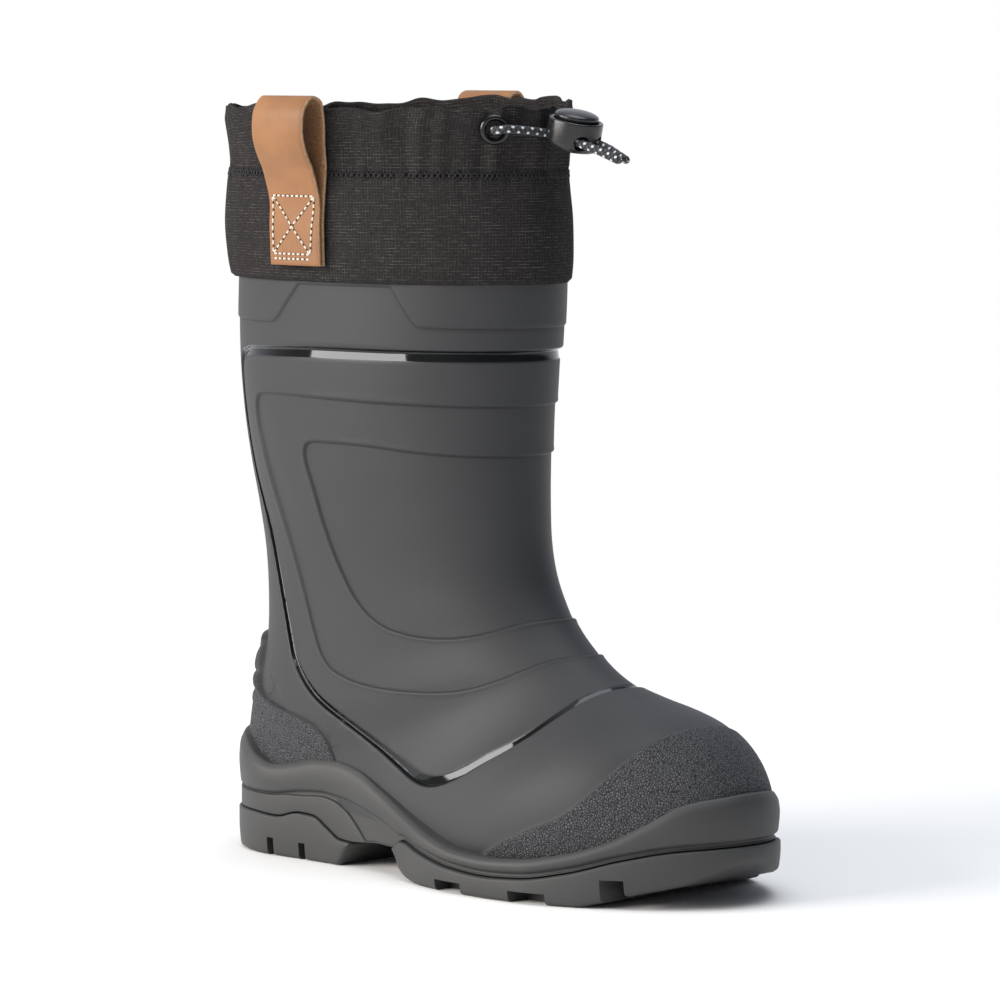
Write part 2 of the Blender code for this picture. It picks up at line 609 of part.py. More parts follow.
def make_forefoot(look):
    xs = forefoot_stations()
    top = height_at(FOREFOOT_TOP, xs)
    bottom = height_at(FOREFOOT_BOTTOM, xs)
    profile = (
        (-2.0, bottom),
        (-0.6, bottom + 0.9),
        (0.0, 0.5 * (bottom + top)),
        (0.0, top - 0.7),
        (-0.7, top),
    )
    sole = sole_solid("outsole_forefoot", xs, profile)
    cut_notches(sole, FOREFOOT_NOTCHES)
    cut_tread(sole, FOREFOOT_TREAD, FOREFOOT_TREAD_SIDES)
    return finish_object(sole, look)


def make_heel(look):
    xs = heel_stations()
    top = height_at(HEEL_TOP, xs)
    bottom = height_at(HEEL_BOTTOM, xs)
    profile = (
        (-2.4, bottom),
        (-0.9, bottom + 1.0),
        (-0.3, 0.5 * (bottom + top)),
        (-0.3, top - 0.4),
        (-0.9, top),
    )
    sole = sole_solid("outsole_heel", xs, profile)
    cut_notches(sole, HEEL_NOTCHES)
    for height in REAR_NOTCHES:
        low = (-BEYOND, -REAR_NOTCH_HALF, height)
        high = (REAR_NOTCH_FRONT, REAR_NOTCH_HALF, height + REAR_NOTCH_HEIGHT)
        boolean(sole, block("notch", low, high), "DIFFERENCE")
    cut_tread(sole, HEEL_TREAD, HEEL_TREAD_SIDES)
    return finish_object(sole, look)


def make_insole(look):
    """Foot bed that follows the inside of the shell."""
    bed = shell_form("insole", -SHELL_WALL - 2.0 * CLEARANCE, sides=INNER_SIDES, fine=False)
    boolean(bed, under_floor("below", 2.0 * CLEARANCE), "DIFFERENCE")
    boolean(bed, under_floor("slice", 2.0 * CLEARANCE + INSOLE_THICKNESS), "INTERSECT")
    return finish_object(bed, look)


# ---- collar -----------------------------------------------------------------------------------------
def cuff_ring(row, inset, angles):
    """Points round the collar for one row of its table, moved inwards by inset."""
    front_x, front_z, back_x, back_z, half, front_round, back_round, front_lean = row
    cosine = np.cos(angles)
    sine = np.sin(angles)
    power = 2.0 / np.where(cosine >= 0.0, front_round, back_round)
    along = np.sign(cosine) * np.abs(cosine) ** power
    across = np.sign(sine) * np.abs(sine) ** power
    lean = np.where(cosine >= 0.0, 1.0 - (1.0 - front_lean) * along**2, 1.0)
    x = 0.5 * (front_x + back_x) + (0.5 * (front_x - back_x) - inset) * along
    y = (half - inset) * across - SHAFT_LEAN * lean
    z = 0.5 * (front_z + back_z) + 0.5 * (front_z - back_z) * along
    return np.stack([x, y, z], axis=1)


def cuff_rings(inset, sides):
    angles = np.arange(sides) * 2.0 * math.pi / sides
    return [cuff_ring(row, inset, angles) for row in CUFF_SECTIONS]


def cuff_row(z, column):
    """The collar's table between its rows, at a height given for one of its columns."""
    rows = np.asarray(CUFF_SECTIONS)
    return [np.interp(z, rows[:, column], rows[:, k]) for k in range(rows.shape[1])]


def make_cuff(look):
    sides = SHAFT_SIDES
    outer = cuff_rings(0.0, sides)
    inner = cuff_rings(CUFF_WALL, sides)
    rings = outer + inner[::-1]
    vertices = [tuple(p) for ring in rings for p in ring]
    faces = []
    for level in range(len(rings)):
        low = level * sides
        high = ((level + 1) % len(rings)) * sides
        for i in range(sides):
            j = (i + 1) % sides
            faces.append((low + i, low + j, high + j, high + i))
    return finish_object(outward(make_object("cuff", vertices, faces)), look)


def cuff_side(x, z, side):
    """Sideways position of the collar's outer face at x."""
    row = cuff_row(z, 3)
    ring = cuff_ring(row, 0.0, side * np.linspace(0.3, 2.8, 60))
    return float(np.interp(-x, -ring[:, 0], ring[:, 1]))


def make_loop(name, side, back, look):
    """Strap folded over at the top, both legs lying on the outside of the collar."""
    path = smooth_path(LOOP_PATH, 2)
    tangent = np.gradient(path, axis=0)
    tangent /= np.linalg.norm(tangent, axis=1, keepdims=True)
    normal = np.stack([tangent[:, 1], -tangent[:, 0]], axis=1)
    half = 0.5 * LOOP_THICKNESS - 0.5 * CLEARANCE
    vertices = []
    for x in np.linspace(back, back + LOOP_WIDTH, LOOP_COLUMNS):
        for (out, z), (nx, nz) in zip(path, normal):
            base = cuff_side(x, z, side)
            vertices.append((x, base + side * (out + nx * half), z + nz * half))
            vertices.append((x, base + side * (out - nx * half), z - nz * half))
    count = 2 * len(path)
    last = count * (LOOP_COLUMNS - 1)
    faces = []
    for i in range(len(path) - 1):
        a, b, c, d = 2 * i, 2 * i + 1, 2 * i + 3, 2 * i + 2
        faces.append((a, b, c, d))
        faces.append((a + last, d + last, c + last, b + last))
        for column in range(LOOP_COLUMNS - 1):
            here = column * count
            there = here + count
            faces.append((a + here, d + here, d + there, a + there))
            faces.append((b + here, b + there, c + there, c + here))
    for i in (0, 2 * (len(path) - 1)):
        for column in range(LOOP_COLUMNS - 1):
            here = i + column * count
            there = here + count
            faces.append((here, here + 1, there + 1, there))
    return finish_object(outward(make_object(name, vertices, faces)), look)


# ---- eyelets, cord and cord lock ----------------------------------------------------------------------
def turned(name, profile, sides):
    """Solid of revolution round z from a closed profile of (radius, z)."""
    vertices = []
    for i in range(sides):
        angle = 2.0 * math.pi * i / sides
        vertices += [(r * math.cos(angle), r * math.sin(angle), z) for r, z in profile]
    count = len(profile)
    faces = []
    for i in range(sides):
        low = i * count
        high = ((i + 1) % sides) * count
        for k in range(count):
            m = (k + 1) % count
            if profile[k][0] > 0.0 or profile[m][0] > 0.0:
                faces.append((low + k, high + k, high + m, low + m))
    return make_object(name, vertices, faces)


def eyelet_place(side, lift):
    """A point above an eyelet's middle, and the direction out of the collar there."""
    angles = side * np.linspace(0.1, 1.2, 80)
    here, above, below = (
        cuff_ring(cuff_row(EYELET_AT[1] + rise, 1), 0.0, angles) for rise in (0.0, EYELET_OUTER, -EYELET_OUTER)
    )
    index = int(np.argmin(np.abs(np.abs(here[:, 1]) - EYELET_AT[0])))
    run = Vector(here[index + 1] - here[index - 1])
    up = Vector(above[index] - below[index])
    out = (run.cross(up) * side).normalized()
    point = Vector((here[index][0], here[index][1], EYELET_AT[1]))
    return point + out * lift, out


def make_eyelet(name, side, look):
    rim = 0.5 * (EYELET_OUTER - EYELET_HOLE)
    middle = 0.5 * (EYELET_OUTER + EYELET_HOLE)
    profile = []
    for i in range(5):
        angle = math.pi * i / 4
        profile.append((middle + rim * math.cos(angle), EYELET_HEIGHT * math.sin(angle)))
    item = outward(turned(name, profile, 16))
    finish_object(item, look)
    point, out = eyelet_place(side, EYELET_LIFT)
    turn = out.to_track_quat("Z", "Y").to_matrix().to_4x4()
    item.matrix_world = Matrix.Translation((point - Vector(ORIGIN)) * MM) @ turn
    return item


def make_cord(name, side, look):
    starts = [tuple(eyelet_place(side, lift)[0]) for lift in CORD_START]
    route = starts + [(x, side * y, z) for x, y, z in CORD_ROUTE]
    points = smooth_path(route, 1)
    curve = bpy.data.curves.new(name, "CURVE")
    curve.dimensions = "3D"
    curve.bevel_depth = CORD_RADIUS * MM
    curve.bevel_resolution = 2
    curve.use_fill_caps = True
    line = curve.splines.new("POLY")
    line.points.add(len(points) - 1)
    for slot, (x, y, z) in zip(line.points, points):
        slot.co = (x * MM, y * MM, z * MM, 1.0)
    curve.materials.append(look)
    item = bpy.data.objects.new(name, curve)
    item.location = Vector(ORIGIN) * -MM
    bpy.context.collection.objects.link(item)
    return item


def lock_matrix():
    """Placement of the cord lock: local z is its axis, local x points to the toe."""
    centre = (Vector(LOCK_CENTRE) - Vector(ORIGIN)) * MM
    return Matrix.Translation(centre) @ Matrix.Rotation(math.radians(LOCK_TILT), 4, "Y")


def make_lock_body(look):
    half = 0.5 * LOCK_HEIGHT
    bore = BUTTON_RADIUS + CLEARANCE
    floor = half - BUTTON_SKIRT - BUTTON_TRAVEL - CLEARANCE
    profile = (
        (0.0, -half), (LOCK_RADIUS - 2.4, -half), (LOCK_RADIUS - 0.7, -half + 1.2), (LOCK_RADIUS, -half + 3.4),
        (LOCK_RADIUS, half - 1.0), (LOCK_RADIUS - 0.8, half), (bore, half), (bore, floor), (0.0, floor),
    )
    body = outward(turned("toggle_body", profile, 28))
    clean_axis(body)
    front, width, low, high = LOCK_SLOT
    boolean(body, block("slot", (-20.0, -width, low), (front, width, high)), "DIFFERENCE")
    for side in (-1.0, 1.0):
        boolean(body, lock_hole(side), "DIFFERENCE")
    finish_object(body, look)
    body.matrix_world = lock_matrix()
    return body


def lock_hole(side):
    """Round hole that one end of the cord leaves the lock through."""
    sides = 12
    rings = []
    for x in (LOCK_SLOT[0] - 0.5, 20.0):
        ring = []
        for i in range(sides):
            angle = 2.0 * math.pi * i / sides
            y = side * LOCK_HOLE_AT[0] + LOCK_HOLE_RADIUS * math.cos(angle)
            ring.append((x, y, LOCK_HOLE_AT[1] + LOCK_HOLE_RADIUS * math.sin(angle)))
        rings.append(ring)
    return outward(ring_solid("hole", rings))


def clean_axis(item):
    """Merge the points that a turned profile repeats on its axis."""
    work = bmesh.new()
    work.from_mesh(item.data)
    bmesh.ops.remove_doubles(work, verts=work.verts, dist=MERGE)
    bmesh.ops.recalc_face_normals(work, faces=work.faces)
    work.to_mesh(item.data)
    work.free()


def make_lock_button(look):
    top = 0.5 * LOCK_HEIGHT
    profile = [(0.0, top - BUTTON_SKIRT), (BUTTON_RADIUS, top - BUTTON_SKIRT), (BUTTON_RADIUS, top + BUTTON_EDGE)]
    for i in range(1, 4):
        angle = 0.5 * math.pi * i / 3
        rise = (BUTTON_PROUD - BUTTON_EDGE) * math.sin(angle)
        profile.append((BUTTON_RADIUS * math.cos(angle), top + BUTTON_EDGE + rise))
    profile[-1] = (0.0, top + BUTTON_PROUD)
    button = outward(turned("toggle_button", profile, 20))
    clean_axis(button)
    finish_object(button, look)
    button.matrix_world = lock_matrix()
    return button


def main():
    clear_scene()
    shell_look = material("shell_foam", (0.052, 0.054, 0.058), 0.5)
    sole_look = material("sole_rubber", (0.056, 0.057, 0.060), 0.55)
    bed_look = material("foot_bed", (0.05, 0.05, 0.05), 0.9)
    cloth_look = material("collar_cloth", (0.030, 0.027, 0.027), 0.9)
    leather_look = material("leather", (0.48, 0.25, 0.12), 0.6)
    ring_look = material("eyelet_lacquer", (0.01, 0.01, 0.011), 0.25)
    cord_look = material("cord_braid", (0.03, 0.03, 0.03), 0.8)
    lock_look = material("lock_plastic", (0.035, 0.036, 0.038), 0.4)
    make_upper(shell_look)
    make_midsole(sole_look)
    make_forefoot(sole_look)
    make_heel(sole_look)
    make_insole(bed_look)
    make_cuff(cloth_look)
    for side, word in ((-1.0, "lateral"), (1.0, "medial")):
        make_loop("pull_loop_" + word, side, LOOP_BACK[word], leather_look)
        make_eyelet("eyelet_" + word, side, ring_look)
        make_cord("drawcord_" + word, side, cord_look)
    make_lock_body(lock_look)
    make_lock_button(lock_look)


main()
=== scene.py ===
"""Looks of the rain boot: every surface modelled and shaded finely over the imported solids.

Tables are in millimetres, measured from the back of the heel: x to the toe, y to the inner side, z up.
"""

import math
from functools import partialmethod

import bmesh
import bpy
import numpy as np
from mathutils import Matrix, Vector


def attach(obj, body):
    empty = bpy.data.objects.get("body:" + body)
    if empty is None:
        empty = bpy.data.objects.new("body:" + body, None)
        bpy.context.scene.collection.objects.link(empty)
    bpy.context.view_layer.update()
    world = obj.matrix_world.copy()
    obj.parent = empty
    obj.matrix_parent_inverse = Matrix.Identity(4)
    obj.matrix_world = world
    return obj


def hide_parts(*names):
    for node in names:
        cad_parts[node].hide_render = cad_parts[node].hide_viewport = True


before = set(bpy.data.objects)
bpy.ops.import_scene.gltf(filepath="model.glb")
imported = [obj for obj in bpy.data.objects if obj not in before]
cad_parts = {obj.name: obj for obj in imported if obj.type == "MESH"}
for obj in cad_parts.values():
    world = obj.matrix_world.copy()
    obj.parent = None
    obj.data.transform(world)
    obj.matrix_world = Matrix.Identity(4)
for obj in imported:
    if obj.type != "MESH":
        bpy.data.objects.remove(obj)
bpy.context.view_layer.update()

MM = 0.001
ORIGIN = np.array((122.9, -2.05, 0.0))
BEYOND = 300.0              # a length past the whole boot
BELOW = -9.0                # a height under it

# ---- sizes shared with the part's source ------------------
SOLE_LENGTH = 250.0
SOLE_BACK = 0.2
SOLE_FRONT = 249.8
HEEL_RADIUS = 40.0
BALL_HALF_WIDTH = 54.5
TOE_START = 184.0
TOE_ROUNDNESS = 1.25
HEEL_END = 84.0
FOREFOOT_START = 113.0
TOE_SWING = 2.0
SHAFT_LEAN = 2.0
SHELL_WALL = 4.8
STEP = 0.9
CLEARANCE = 0.3
CUFF_WALL = 2.0
SWING_FADE = (80.0, 190.0)

# front_x, front_z, back_x, back_z, half_width, widest_at, front_round, back_round
SECTIONS = (
    (147.8, 231, -0.6, 231, 43, 0.5, 2, 2),
    (148.2, 216, -1, 216, 43.2, 0.5, 2, 2),
    (147.2, 200, -1.2, 199, 43.6, 0.5, 2, 2),
    (145.6, 183, -0.2, 181, 43.8, 0.5, 2, 2),
    (144.2, 166, 1.7, 163, 43.2, 0.5, 2, 2),
    (143.7, 150, 4.3, 146, 41.9, 0.5, 2, 2),
    (143.9, 136, 7, 130, 39.9, 0.5, 2, 2),
    (144.9, 122, 9.6, 113, 37.9, 0.5, 2, 2.05),
    (147.6, 110.5, 10.9, 96, 36.8, 0.5, 2, 2.15),
    (152.2, 101.2, 10.6, 78, 36.4, 0.5, 2, 2.25),
    (158.6, 92.6, 7.8, 58, 36.4, 0.52, 2, 2.4),
    (167, 84.8, 6.2, 38, 36.8, 0.54, 2.05, 2.6),
    (176.4, 78.4, 7, 12, 36.6, 0.58, 2.1, 2.8),
    (186, 73.4, 48, 2, 38.4, 0.64, 2.15, 3),
    (195.4, 70, 104, 2, 43.4, 0.7, 2.2, 3),
    (204.6, 67.2, 148, 3, 47.4, 0.72, 2.25, 3),
    (213.6, 64.4, 180, 4, 45.8, 0.74, 2.3, 3),
    (222.2, 61, 204, 6, 39.8, 0.74, 2.3, 3),
    (230, 57, 220, 8.5, 32.6, 0.74, 2.3, 3),
    (236.4, 52, 232, 11.5, 25.2, 0.72, 2.3, 3),
    (241.2, 46.4, 239.6, 15, 18.2, 0.68, 2.2, 2.6),
    (244, 40.4, 243.4, 20, 11.6, 0.6, 2.1, 2.2),
    (244.9, 34, 244.8, 26.4, 5, 0.5, 2, 2),
)
# x, z and the width of the glossy groove there
PANEL_OUTER = (
    (170, 190, 4), (120, 190.1, 4.2), (60, 189.9, 4.1), (40, 189.1, 3.6), (24, 188.2, 3.1),
    (17.5, 186.6, 2.6), (14, 183, 2.3), (13, 177, 2.1), (13.6, 168, 1.9), (17, 152, 1.8),
    (22.6, 137.5, 1.8), (29.2, 124, 1.8), (33, 113, 1.8), (40.2, 93, 1.9), (44, 83.5, 2),
    (48.6, 74.4, 2.2), (54.5, 67.8, 2.3), (62.5, 61.8, 2.3), (71, 57.5, 2.3), (80, 53.5, 2.3),
    (89, 49.4, 2.4), (98, 45.3, 2.7), (107, 41.2, 3.3), (115, 38, 4), (121.5, 36.6, 4.3),
    (129, 36.9, 4.4), (135.5, 38.9, 4.2), (143, 42.4, 4), (151, 47, 3.8), (160, 51.8, 3.4),
    (167.5, 56.8, 3.5), (175.5, 64.2, 3.6), (181, 69.8, 3.3), (185.5, 72.8, 2.7), (190, 73.8, 2.4),
    (200, 74.5, 2.4),
)
PANEL_MIDDLE = (
    (170, 171.4), (135, 171.8), (112, 172.4), (81, 173.3), (62, 173.8), (48, 173.8), (38, 173.4),
    (33.4, 172.5), (31.2, 170.2), (30.5, 166.5), (31, 161), (33.4, 152.5), (37.6, 140), (45.4, 120.7),
    (53.5, 101.6), (60.7, 84.2), (64.4, 77.6), (69.4, 73), (77.6, 70), (87.4, 68.2), (98, 67.4),
    (110, 67.3), (123, 67.9), (133, 69.4), (143, 72.4), (150.5, 75.6), (157, 79), (162, 81.6),
    (167, 83.2), (180, 85),
)
PANEL_INNER = (
    (170, 153.6), (128, 153.9), (112, 155), (97, 156.4), (84, 156.9), (73, 156.9), (67, 156.6),
    (63.8, 155.2), (62.6, 152.4), (63, 147.6), (64.6, 142.4), (69.6, 123.6), (73.1, 115), (77.2, 107.4),
    (82, 100.4), (88.7, 94.3), (96.5, 90.2), (106, 88), (115, 87.2), (123.3, 87.4), (131, 88.4),
    (139, 90.3), (145, 92.4), (150.5, 94.6), (156, 96), (170, 97),
)
TOE_CAP = (
    (150.0, 8.0), (161.0, 14.6), (172.0, 20.4), (185.0, 26.2), (196.4, 31.0), (205.0, 38.0), (212.4, 46.8),
    (218.4, 55.8), (222.6, 61.8), (228.0, 68.6),
)
HEEL_COUNTER = (
    (-8, 81.8), (8, 81.2), (15, 80.2), (18.4, 78.4), (19.3, 75.2), (18.8, 71.7), (18.2, 68), (18.4, 64.4),
    (20.3, 61.4), (24.2, 59.2), (29.9, 57.3), (36, 55.9), (45, 54.4), (54, 53.2), (60.5, 51.8), (65.8, 49.2),
    (69.8, 45.8), (72.6, 41.6), (75, 37.2), (77, 32),
)
# soft edge above the heel counter
HEEL_CREASE = (
    (-8.0, 96.0), (4.0, 93.0), (10.0, 88.6), (13.4, 82.0), (17.0, 77.0), (22.4, 72.0), (28.4, 68.2),
    (33.6, 64.6), (40.0, 60.0), (45.0, 55.0), (49.0, 48.0),
)
COLLAR_LINE = 200.4
PLAQUE = ((42.6, 193.0), (64.2, 215.2), (108.2, 215.2), (121.9, 193.0))
PLAQUE_CORNER = 2.0
PANEL_LIP = 0.14
OVERLAY_RAISE = 0.8
COUNTER_HEEL_RAISE = 1.6
COUNTER_LIP = 0.35
CREASE_DEPTH = 0.5
COLLAR_RAISE = 0.6
GROOVE_DEPTH = 0.6
GROOVE_CREASE = 9.0
GROOVE_DEEPEST = 0.5        # share of the half width, towards the line's outer side
KICK_CENTRE = 34.6
KICK_FRONT = 40.0
# heel plate's radius about KICK_CENTRE, with its ridges (z, radius)
KICK_PROFILE = (
    (45, 20), (49.6, 29.5), (51.6, 30.3), (53.4, 30.8), (55.4, 31.1), (57.4, 30.8), (58.7, 29.7), (60, 30.6),
    (62.1, 30.9), (64.2, 30.5), (65.5, 29.4), (66.8, 30.1), (69, 30), (72, 29.3), (75, 27.9), (78.3, 25.8),
    (80.5, 23.5), (84, 18),
)

# ---- heights along the sole's side (x, z) -----------------
BAND_TOP = (
    (0, 45), (10, 44), (20, 40.6), (31, 36.2), (41, 34.4), (52, 36), (64, 38.4), (74, 38.8), (85, 37),
    (101, 30.8), (112, 26.6), (124, 22.4), (138, 18.2), (152, 15.4), (166, 14.6), (184, 15.6), (202, 19),
    (216, 24), (228, 31), (238, 37.4), (250, 40.4),
)
BAND_BOTTOM = (
    (0, 25), (20, 23.6), (40, 23.4), (56, 25.4), (68, 26.2), (80, 25), (92, 22.6), (104, 19.6),
    (118, 15.4), (130, 12.6), (148, 9.4), (166, 8.2), (184, 9), (202, 12.2), (220, 17.6), (236, 21),
    (250, 22.6),
)
HEEL_BLOCK_TOP = (
    (0.0, 24.0), (20.0, 22.8), (56.0, 23.8), (68.0, 24.6), (74.0, 23.8), (81.0, 20.8), (88.0, 15.2),
    (95.0, 9.0), (99.0, 7.0), (250.0, 7.0),
)
MIDSOLE_BOTTOM = (
    (0, 15.4), (30, 15.6), (44, 15), (56, 17.4), (64, 17), (72, 13), (78, 9.8), (84, 9.3), (100, 10.6),
    (110, 10.6), (113, 12), (118.5, 14.4), (130, 12), (148, 8.9), (166, 7.7), (184, 8.5), (202, 11.7),
    (220, 17), (236, 20.6), (250, 22),
)
FOREFOOT_TOP = ((113.0, 11.6),) + MIDSOLE_BOTTOM[11:]
FOREFOOT_BOTTOM = (
    (113.0, 9.6), (118.0, 2.6), (123.6, 0.6), (130.0, 0.0), (204.0, 0.0), (212.0, 1.6), (222.0, 4.8),
    (236.0, 8.4), (244.0, 12.2), (250.0, 16.0),
)
HEEL_TOP = MIDSOLE_BOTTOM[:7] + ((84.0, 9.2),)
HEEL_BOTTOM = ((0.0, 1.6), (6.0, 0.0), (76.0, 0.0), (84.0, 8.4))
CUP_FLOOR = (
    (0.0, 22.0), (50.0, 22.0), (80.0, 20.6), (104.0, 18.4), (120.0, 17.0), (140.0, 14.2), (166.0, 12.6),
    (186.0, 13.0), (204.0, 15.6), (220.0, 20.0), (236.0, 24.0), (250.0, 27.0),
)
# lug gaps in the sole's edges: start, end, height, depth
FOREFOOT_NOTCHES = ((142.5, 156.5, 4.2, 9.0), (179.5, 194.5, 4.2, 9.0), (213.5, 221.0, 10.5, 11.0))
HEEL_NOTCHES = ((39.6, 43.0, 6.8, 5.0), (56.4, 59.8, 6.4, 5.0))
# slots at the back of the heel: their heights, and a slot's depth, height and half width
REAR_NOTCHES = (6.4, 12.2)
REAR_NOTCH_SIZE = (2.6, 2.6, 24.0)
# grooves across the underside: where they start, their half width, and a groove's length and height
FOREFOOT_TREAD = ((135.0, 168.0, 205.0), 32.0)
HEEL_TREAD = ((22.0, 48.0), 22.0)
TREAD_GROOVE = (4.0, 3.2)
# x, half width
SOLE_WIDTHS = (
    (40.0, HEEL_RADIUS), (62.0, 39.6), (80.0, 39.8), (100.0, 42.4), (118.0, 47.0), (136.0, 52.0),
    (152.0, 54.2), (168.0, BALL_HALF_WIDTH), (TOE_START, 53.2),
)
# front_x, front_z, back_x, back_z, half_width, front_round, back_round, front_lean
CUFF_SECTIONS = (
    (150, 216, -3.4, 216, 45.9, 2, 2.1, 1),
    (150.8, 225, -4, 224, 46.4, 2, 2.2, 1),
    (150.4, 240, -3.2, 237, 46.8, 1.95, 2.35, 0.7),
    (148.4, 253.6, -0.8, 253.2, 46.4, 1.9, 2.4, 0.3),
    (148.2, 259.1, 0.4, 258.2, 46.4, 1.9, 2.4, 0.1),
    (149.6, 272, 1.4, 266.5, 47.8, 1.85, 2.5, 0),
    (152.4, 284, 0.6, 279, 48.8, 1.85, 2.5, 0),
)
FRONT_Z, BACK_Z = 1, 3      # columns of CUFF_SECTIONS

# ---- collar, straps, cords and lock -----------------------
# tables of waves: how many go round the boot, their size and phase
RIM_WAVES = ((3, 0.35, 0.6), (7, 0.45, 2.1), (13, 0.55, 0.4), (19, 0.35, 1.7), (29, 0.22, 0.3))
GATHER_WAVES = ((9, 0.30, 1.1), (17, 0.40, 2.6), (27, 0.35, 0.2), (41, 0.28, 1.3), (57, 0.16, 2.2))
PUCKER_WAVES = ((61, 0.30, 0.5), (83, 0.26, 1.9), (107, 0.16, 0.9))
HEM_WAVES = ((5, 0.25, 0.9), (11, 0.22, 2.4), (23, 0.12, 0.3))
# rim bent round an angle: (angle, spread, outwards, upwards)
RIM_BENDS = ((-2.55, 0.32, 1.0, 1.0), (-1.0, 0.72, 0.0, -3.5), (0.2, 0.6, -2.2, -4.6), (1.5, 0.8, 0.0, 1.5))
CUFF_TOP = 6.0              # last row of the collar's table
CUFF_COLUMNS = 420
CUFF_ROWS = ((0.0, 0.3, 8), (0.3, 3.0, 46), (3.0, 3.8, 26), (3.8, 5.7, 40), (5.7, CUFF_TOP, 6))
MEASURED_ROW = 60           # the ring of the collar round which its weave is measured
HEM_TURN = 1.1
RIM_TURN = 0.9
SEAM_ROW = 3.35             # the drawcord channel's stitch line, as a row of the collar's table
SEAM_PINCH = 0.6
STITCH_ROWS = (3.04, 3.66)
STITCH_COUNT = 96
# side, name, the strap's back edge, how much higher its top is, how far its inner part stands forwards
LOOPS = ((-1.0, "lateral", 55.9, 0.0, 2.2), (1.0, "medial", 53.6, 1.2, 0.0))
LOOP_RISE = (250.0, 272.0)  # heights between which the strap's extra height grows
LOOP_WIDTH = 26.8
LOOP_HALF = 0.5 * (1.7 - CLEARANCE)      # half the strap's thickness
# distance out of the collar, z
LOOP_PATH = (
    (3.3, 222), (3.3, 234), (3.5, 246), (6.4, 255), (10.4, 264), (12, 271.6), (10.8, 278.8), (6.6, 283.2),
    (2.6, 281.8), (1.4, 276.6), (1.35, 267), (1.35, 257), (1.35, 247), (1.35, 238), (1.35, 230), (1.35, 222),
)
# stitched lines on the strap (from the back edge, z): a box, its cross and a second row below
STITCH_RUNS = (
    ((2.8, 247.4), (25.0, 247.4)), ((25.0, 247.4), (22.6, 226.2)), ((22.6, 226.2), (2.6, 226.2)),
    ((2.6, 226.2), (2.8, 247.4)), ((2.8, 247.4), (22.6, 226.2)), ((25.0, 247.4), (2.6, 226.2)),
    ((2.6, 224.4), (22.4, 224.4)),
)
STITCH_PITCH = 2.5
THREAD_STOPS = ((0.0, 0.25), (0.10, 0.75), (0.28, 1.0), (0.72, 1.0), (0.90, 0.75), (1.0, 0.25))
EYELET_AT = (20.5, 272.0)
EYELET_OUTER = 5.6
EYELET_HOLE = 3.2
EYELET_HEIGHT = 1.4
EYELET_LIFT = 0.7
CORD_RADIUS = 1.55
CORD_SIDES = 28
CORD_START = (1.0, 3.6)
CORD_ROUTE = (
    (147.4, 21, 272.1), (149.8, 17.2, 271.9), (151.9, 12.8, 271.5), (153.2, 8.4, 270.9), (155.6, 5.2, 270.1),
    (158.6, 4.4, 269.3), (164, 4.3, 268), (170.3, 4.1, 266.5), (176, 3.4, 264.8), (181, 2.5, 262.9),
    (186, 1.85, 261),
)
FLECK_ROWS = 5.0
FLECK_PITCH = 3.55
FLECK_SPACING = 2.0 * math.pi * CORD_RADIUS / FLECK_ROWS
LOCK_CENTRE = (161.2, 0.0, 270.2)
LOCK_TURN = Matrix.Rotation(math.radians(13.0), 4, "Y")
LOCK_RADIUS = 9.9
LOCK_HEIGHT = 11.0
LOCK_HOLE_RADIUS = 2.7
LOCK_HOLE_AT = (4.3, -1.5)
LOCK_SLOT = (-3.6, 9.4, -3.6, 0.6)      # front, half width, bottom and top of the slot at the lock's back
BUTTON_RADIUS = 8.0
BUTTON_PROUD = 3.4
BUTTON_EDGE = 1.3
BUTTON_SKIRT = 1.4
BUTTON_TRAVEL = 2.2

# ---- how finely things are made ---------------------------
TINY = 1e-9
TINY_SQUARE = 1e-12
WELD = 2e-6                 # metres
NUDGE = 0.002               # step along the shell that gives its direction
ON_LINE = 0.03              # points this near a line count as on it
FLOOR_SLACK = 0.05
FLOOR_MARGIN = 6.0          # how far below the foot bed the grid is kept until it is cut there
LEAST_SLANT = 0.12          # keeps the distances from a line finite where the shell faces along them
OFF_PLATE = -5.0            # the heel plate's rise wherever there is none
CORNER_SHARE = 0.45         # of a side, at most, that a rounded corner takes
BATCH = 8000
LINE_SPACING = 1.6
# heights in metres between which the wall's top and bottom edges lie
RIM_LEVELS = ((0.2, 1.0), (-1.0, 0.2))
# stops of the shell's grid, by section: (position, step from there)
OUTSIDE_STOPS = ((0.0, 0.11), (8.7, 0.048), (11.3, 0.08), (13.0, 0.076), (20.0, 0.13), (22.0, 0.1))
OUTSIDE_ANGLES = 209
INSIDE_STOPS = ((0.0, 0.25), (22.0, 0.2))
INSIDE_ANGLES = 81
BED_VOXEL = 0.0012          # metres
PEBBLES = 1150.0            # scale of the pebbles in the shell's material

# ---- floor, light and camera ------------------------------
FLOOR_RADIUS = 0.75
WORLD_LEFT = (0.30, 0.296, 0.288)
WORLD_RIGHT = (0.098, 0.112, 0.142)
WORLD_BACK = (0.75, 0.78, 0.85)
WORLD_TOP = (0.95, 0.995, 1.06)
# name, place, target, size, power, colour
LIGHTS = (
    ("top", (0.35, 0.0, 2.6), (0.0, 0.0, 0.0), (1.8, 1.8), 30.0, (0.92, 0.965, 1.0)),
    ("key", (-1.0, -1.9, 0.85), (0.0, 0.0, 0.12), (1.9, 1.05), 66.0, (1.0, 0.965, 0.925)),
)
CAMERA_LENS = 185.0
CAMERA_PLACE = (1.3251, -1.3246, 0.3006)
CAMERA_TARGET = (0.0041, -0.0013, 0.1366)


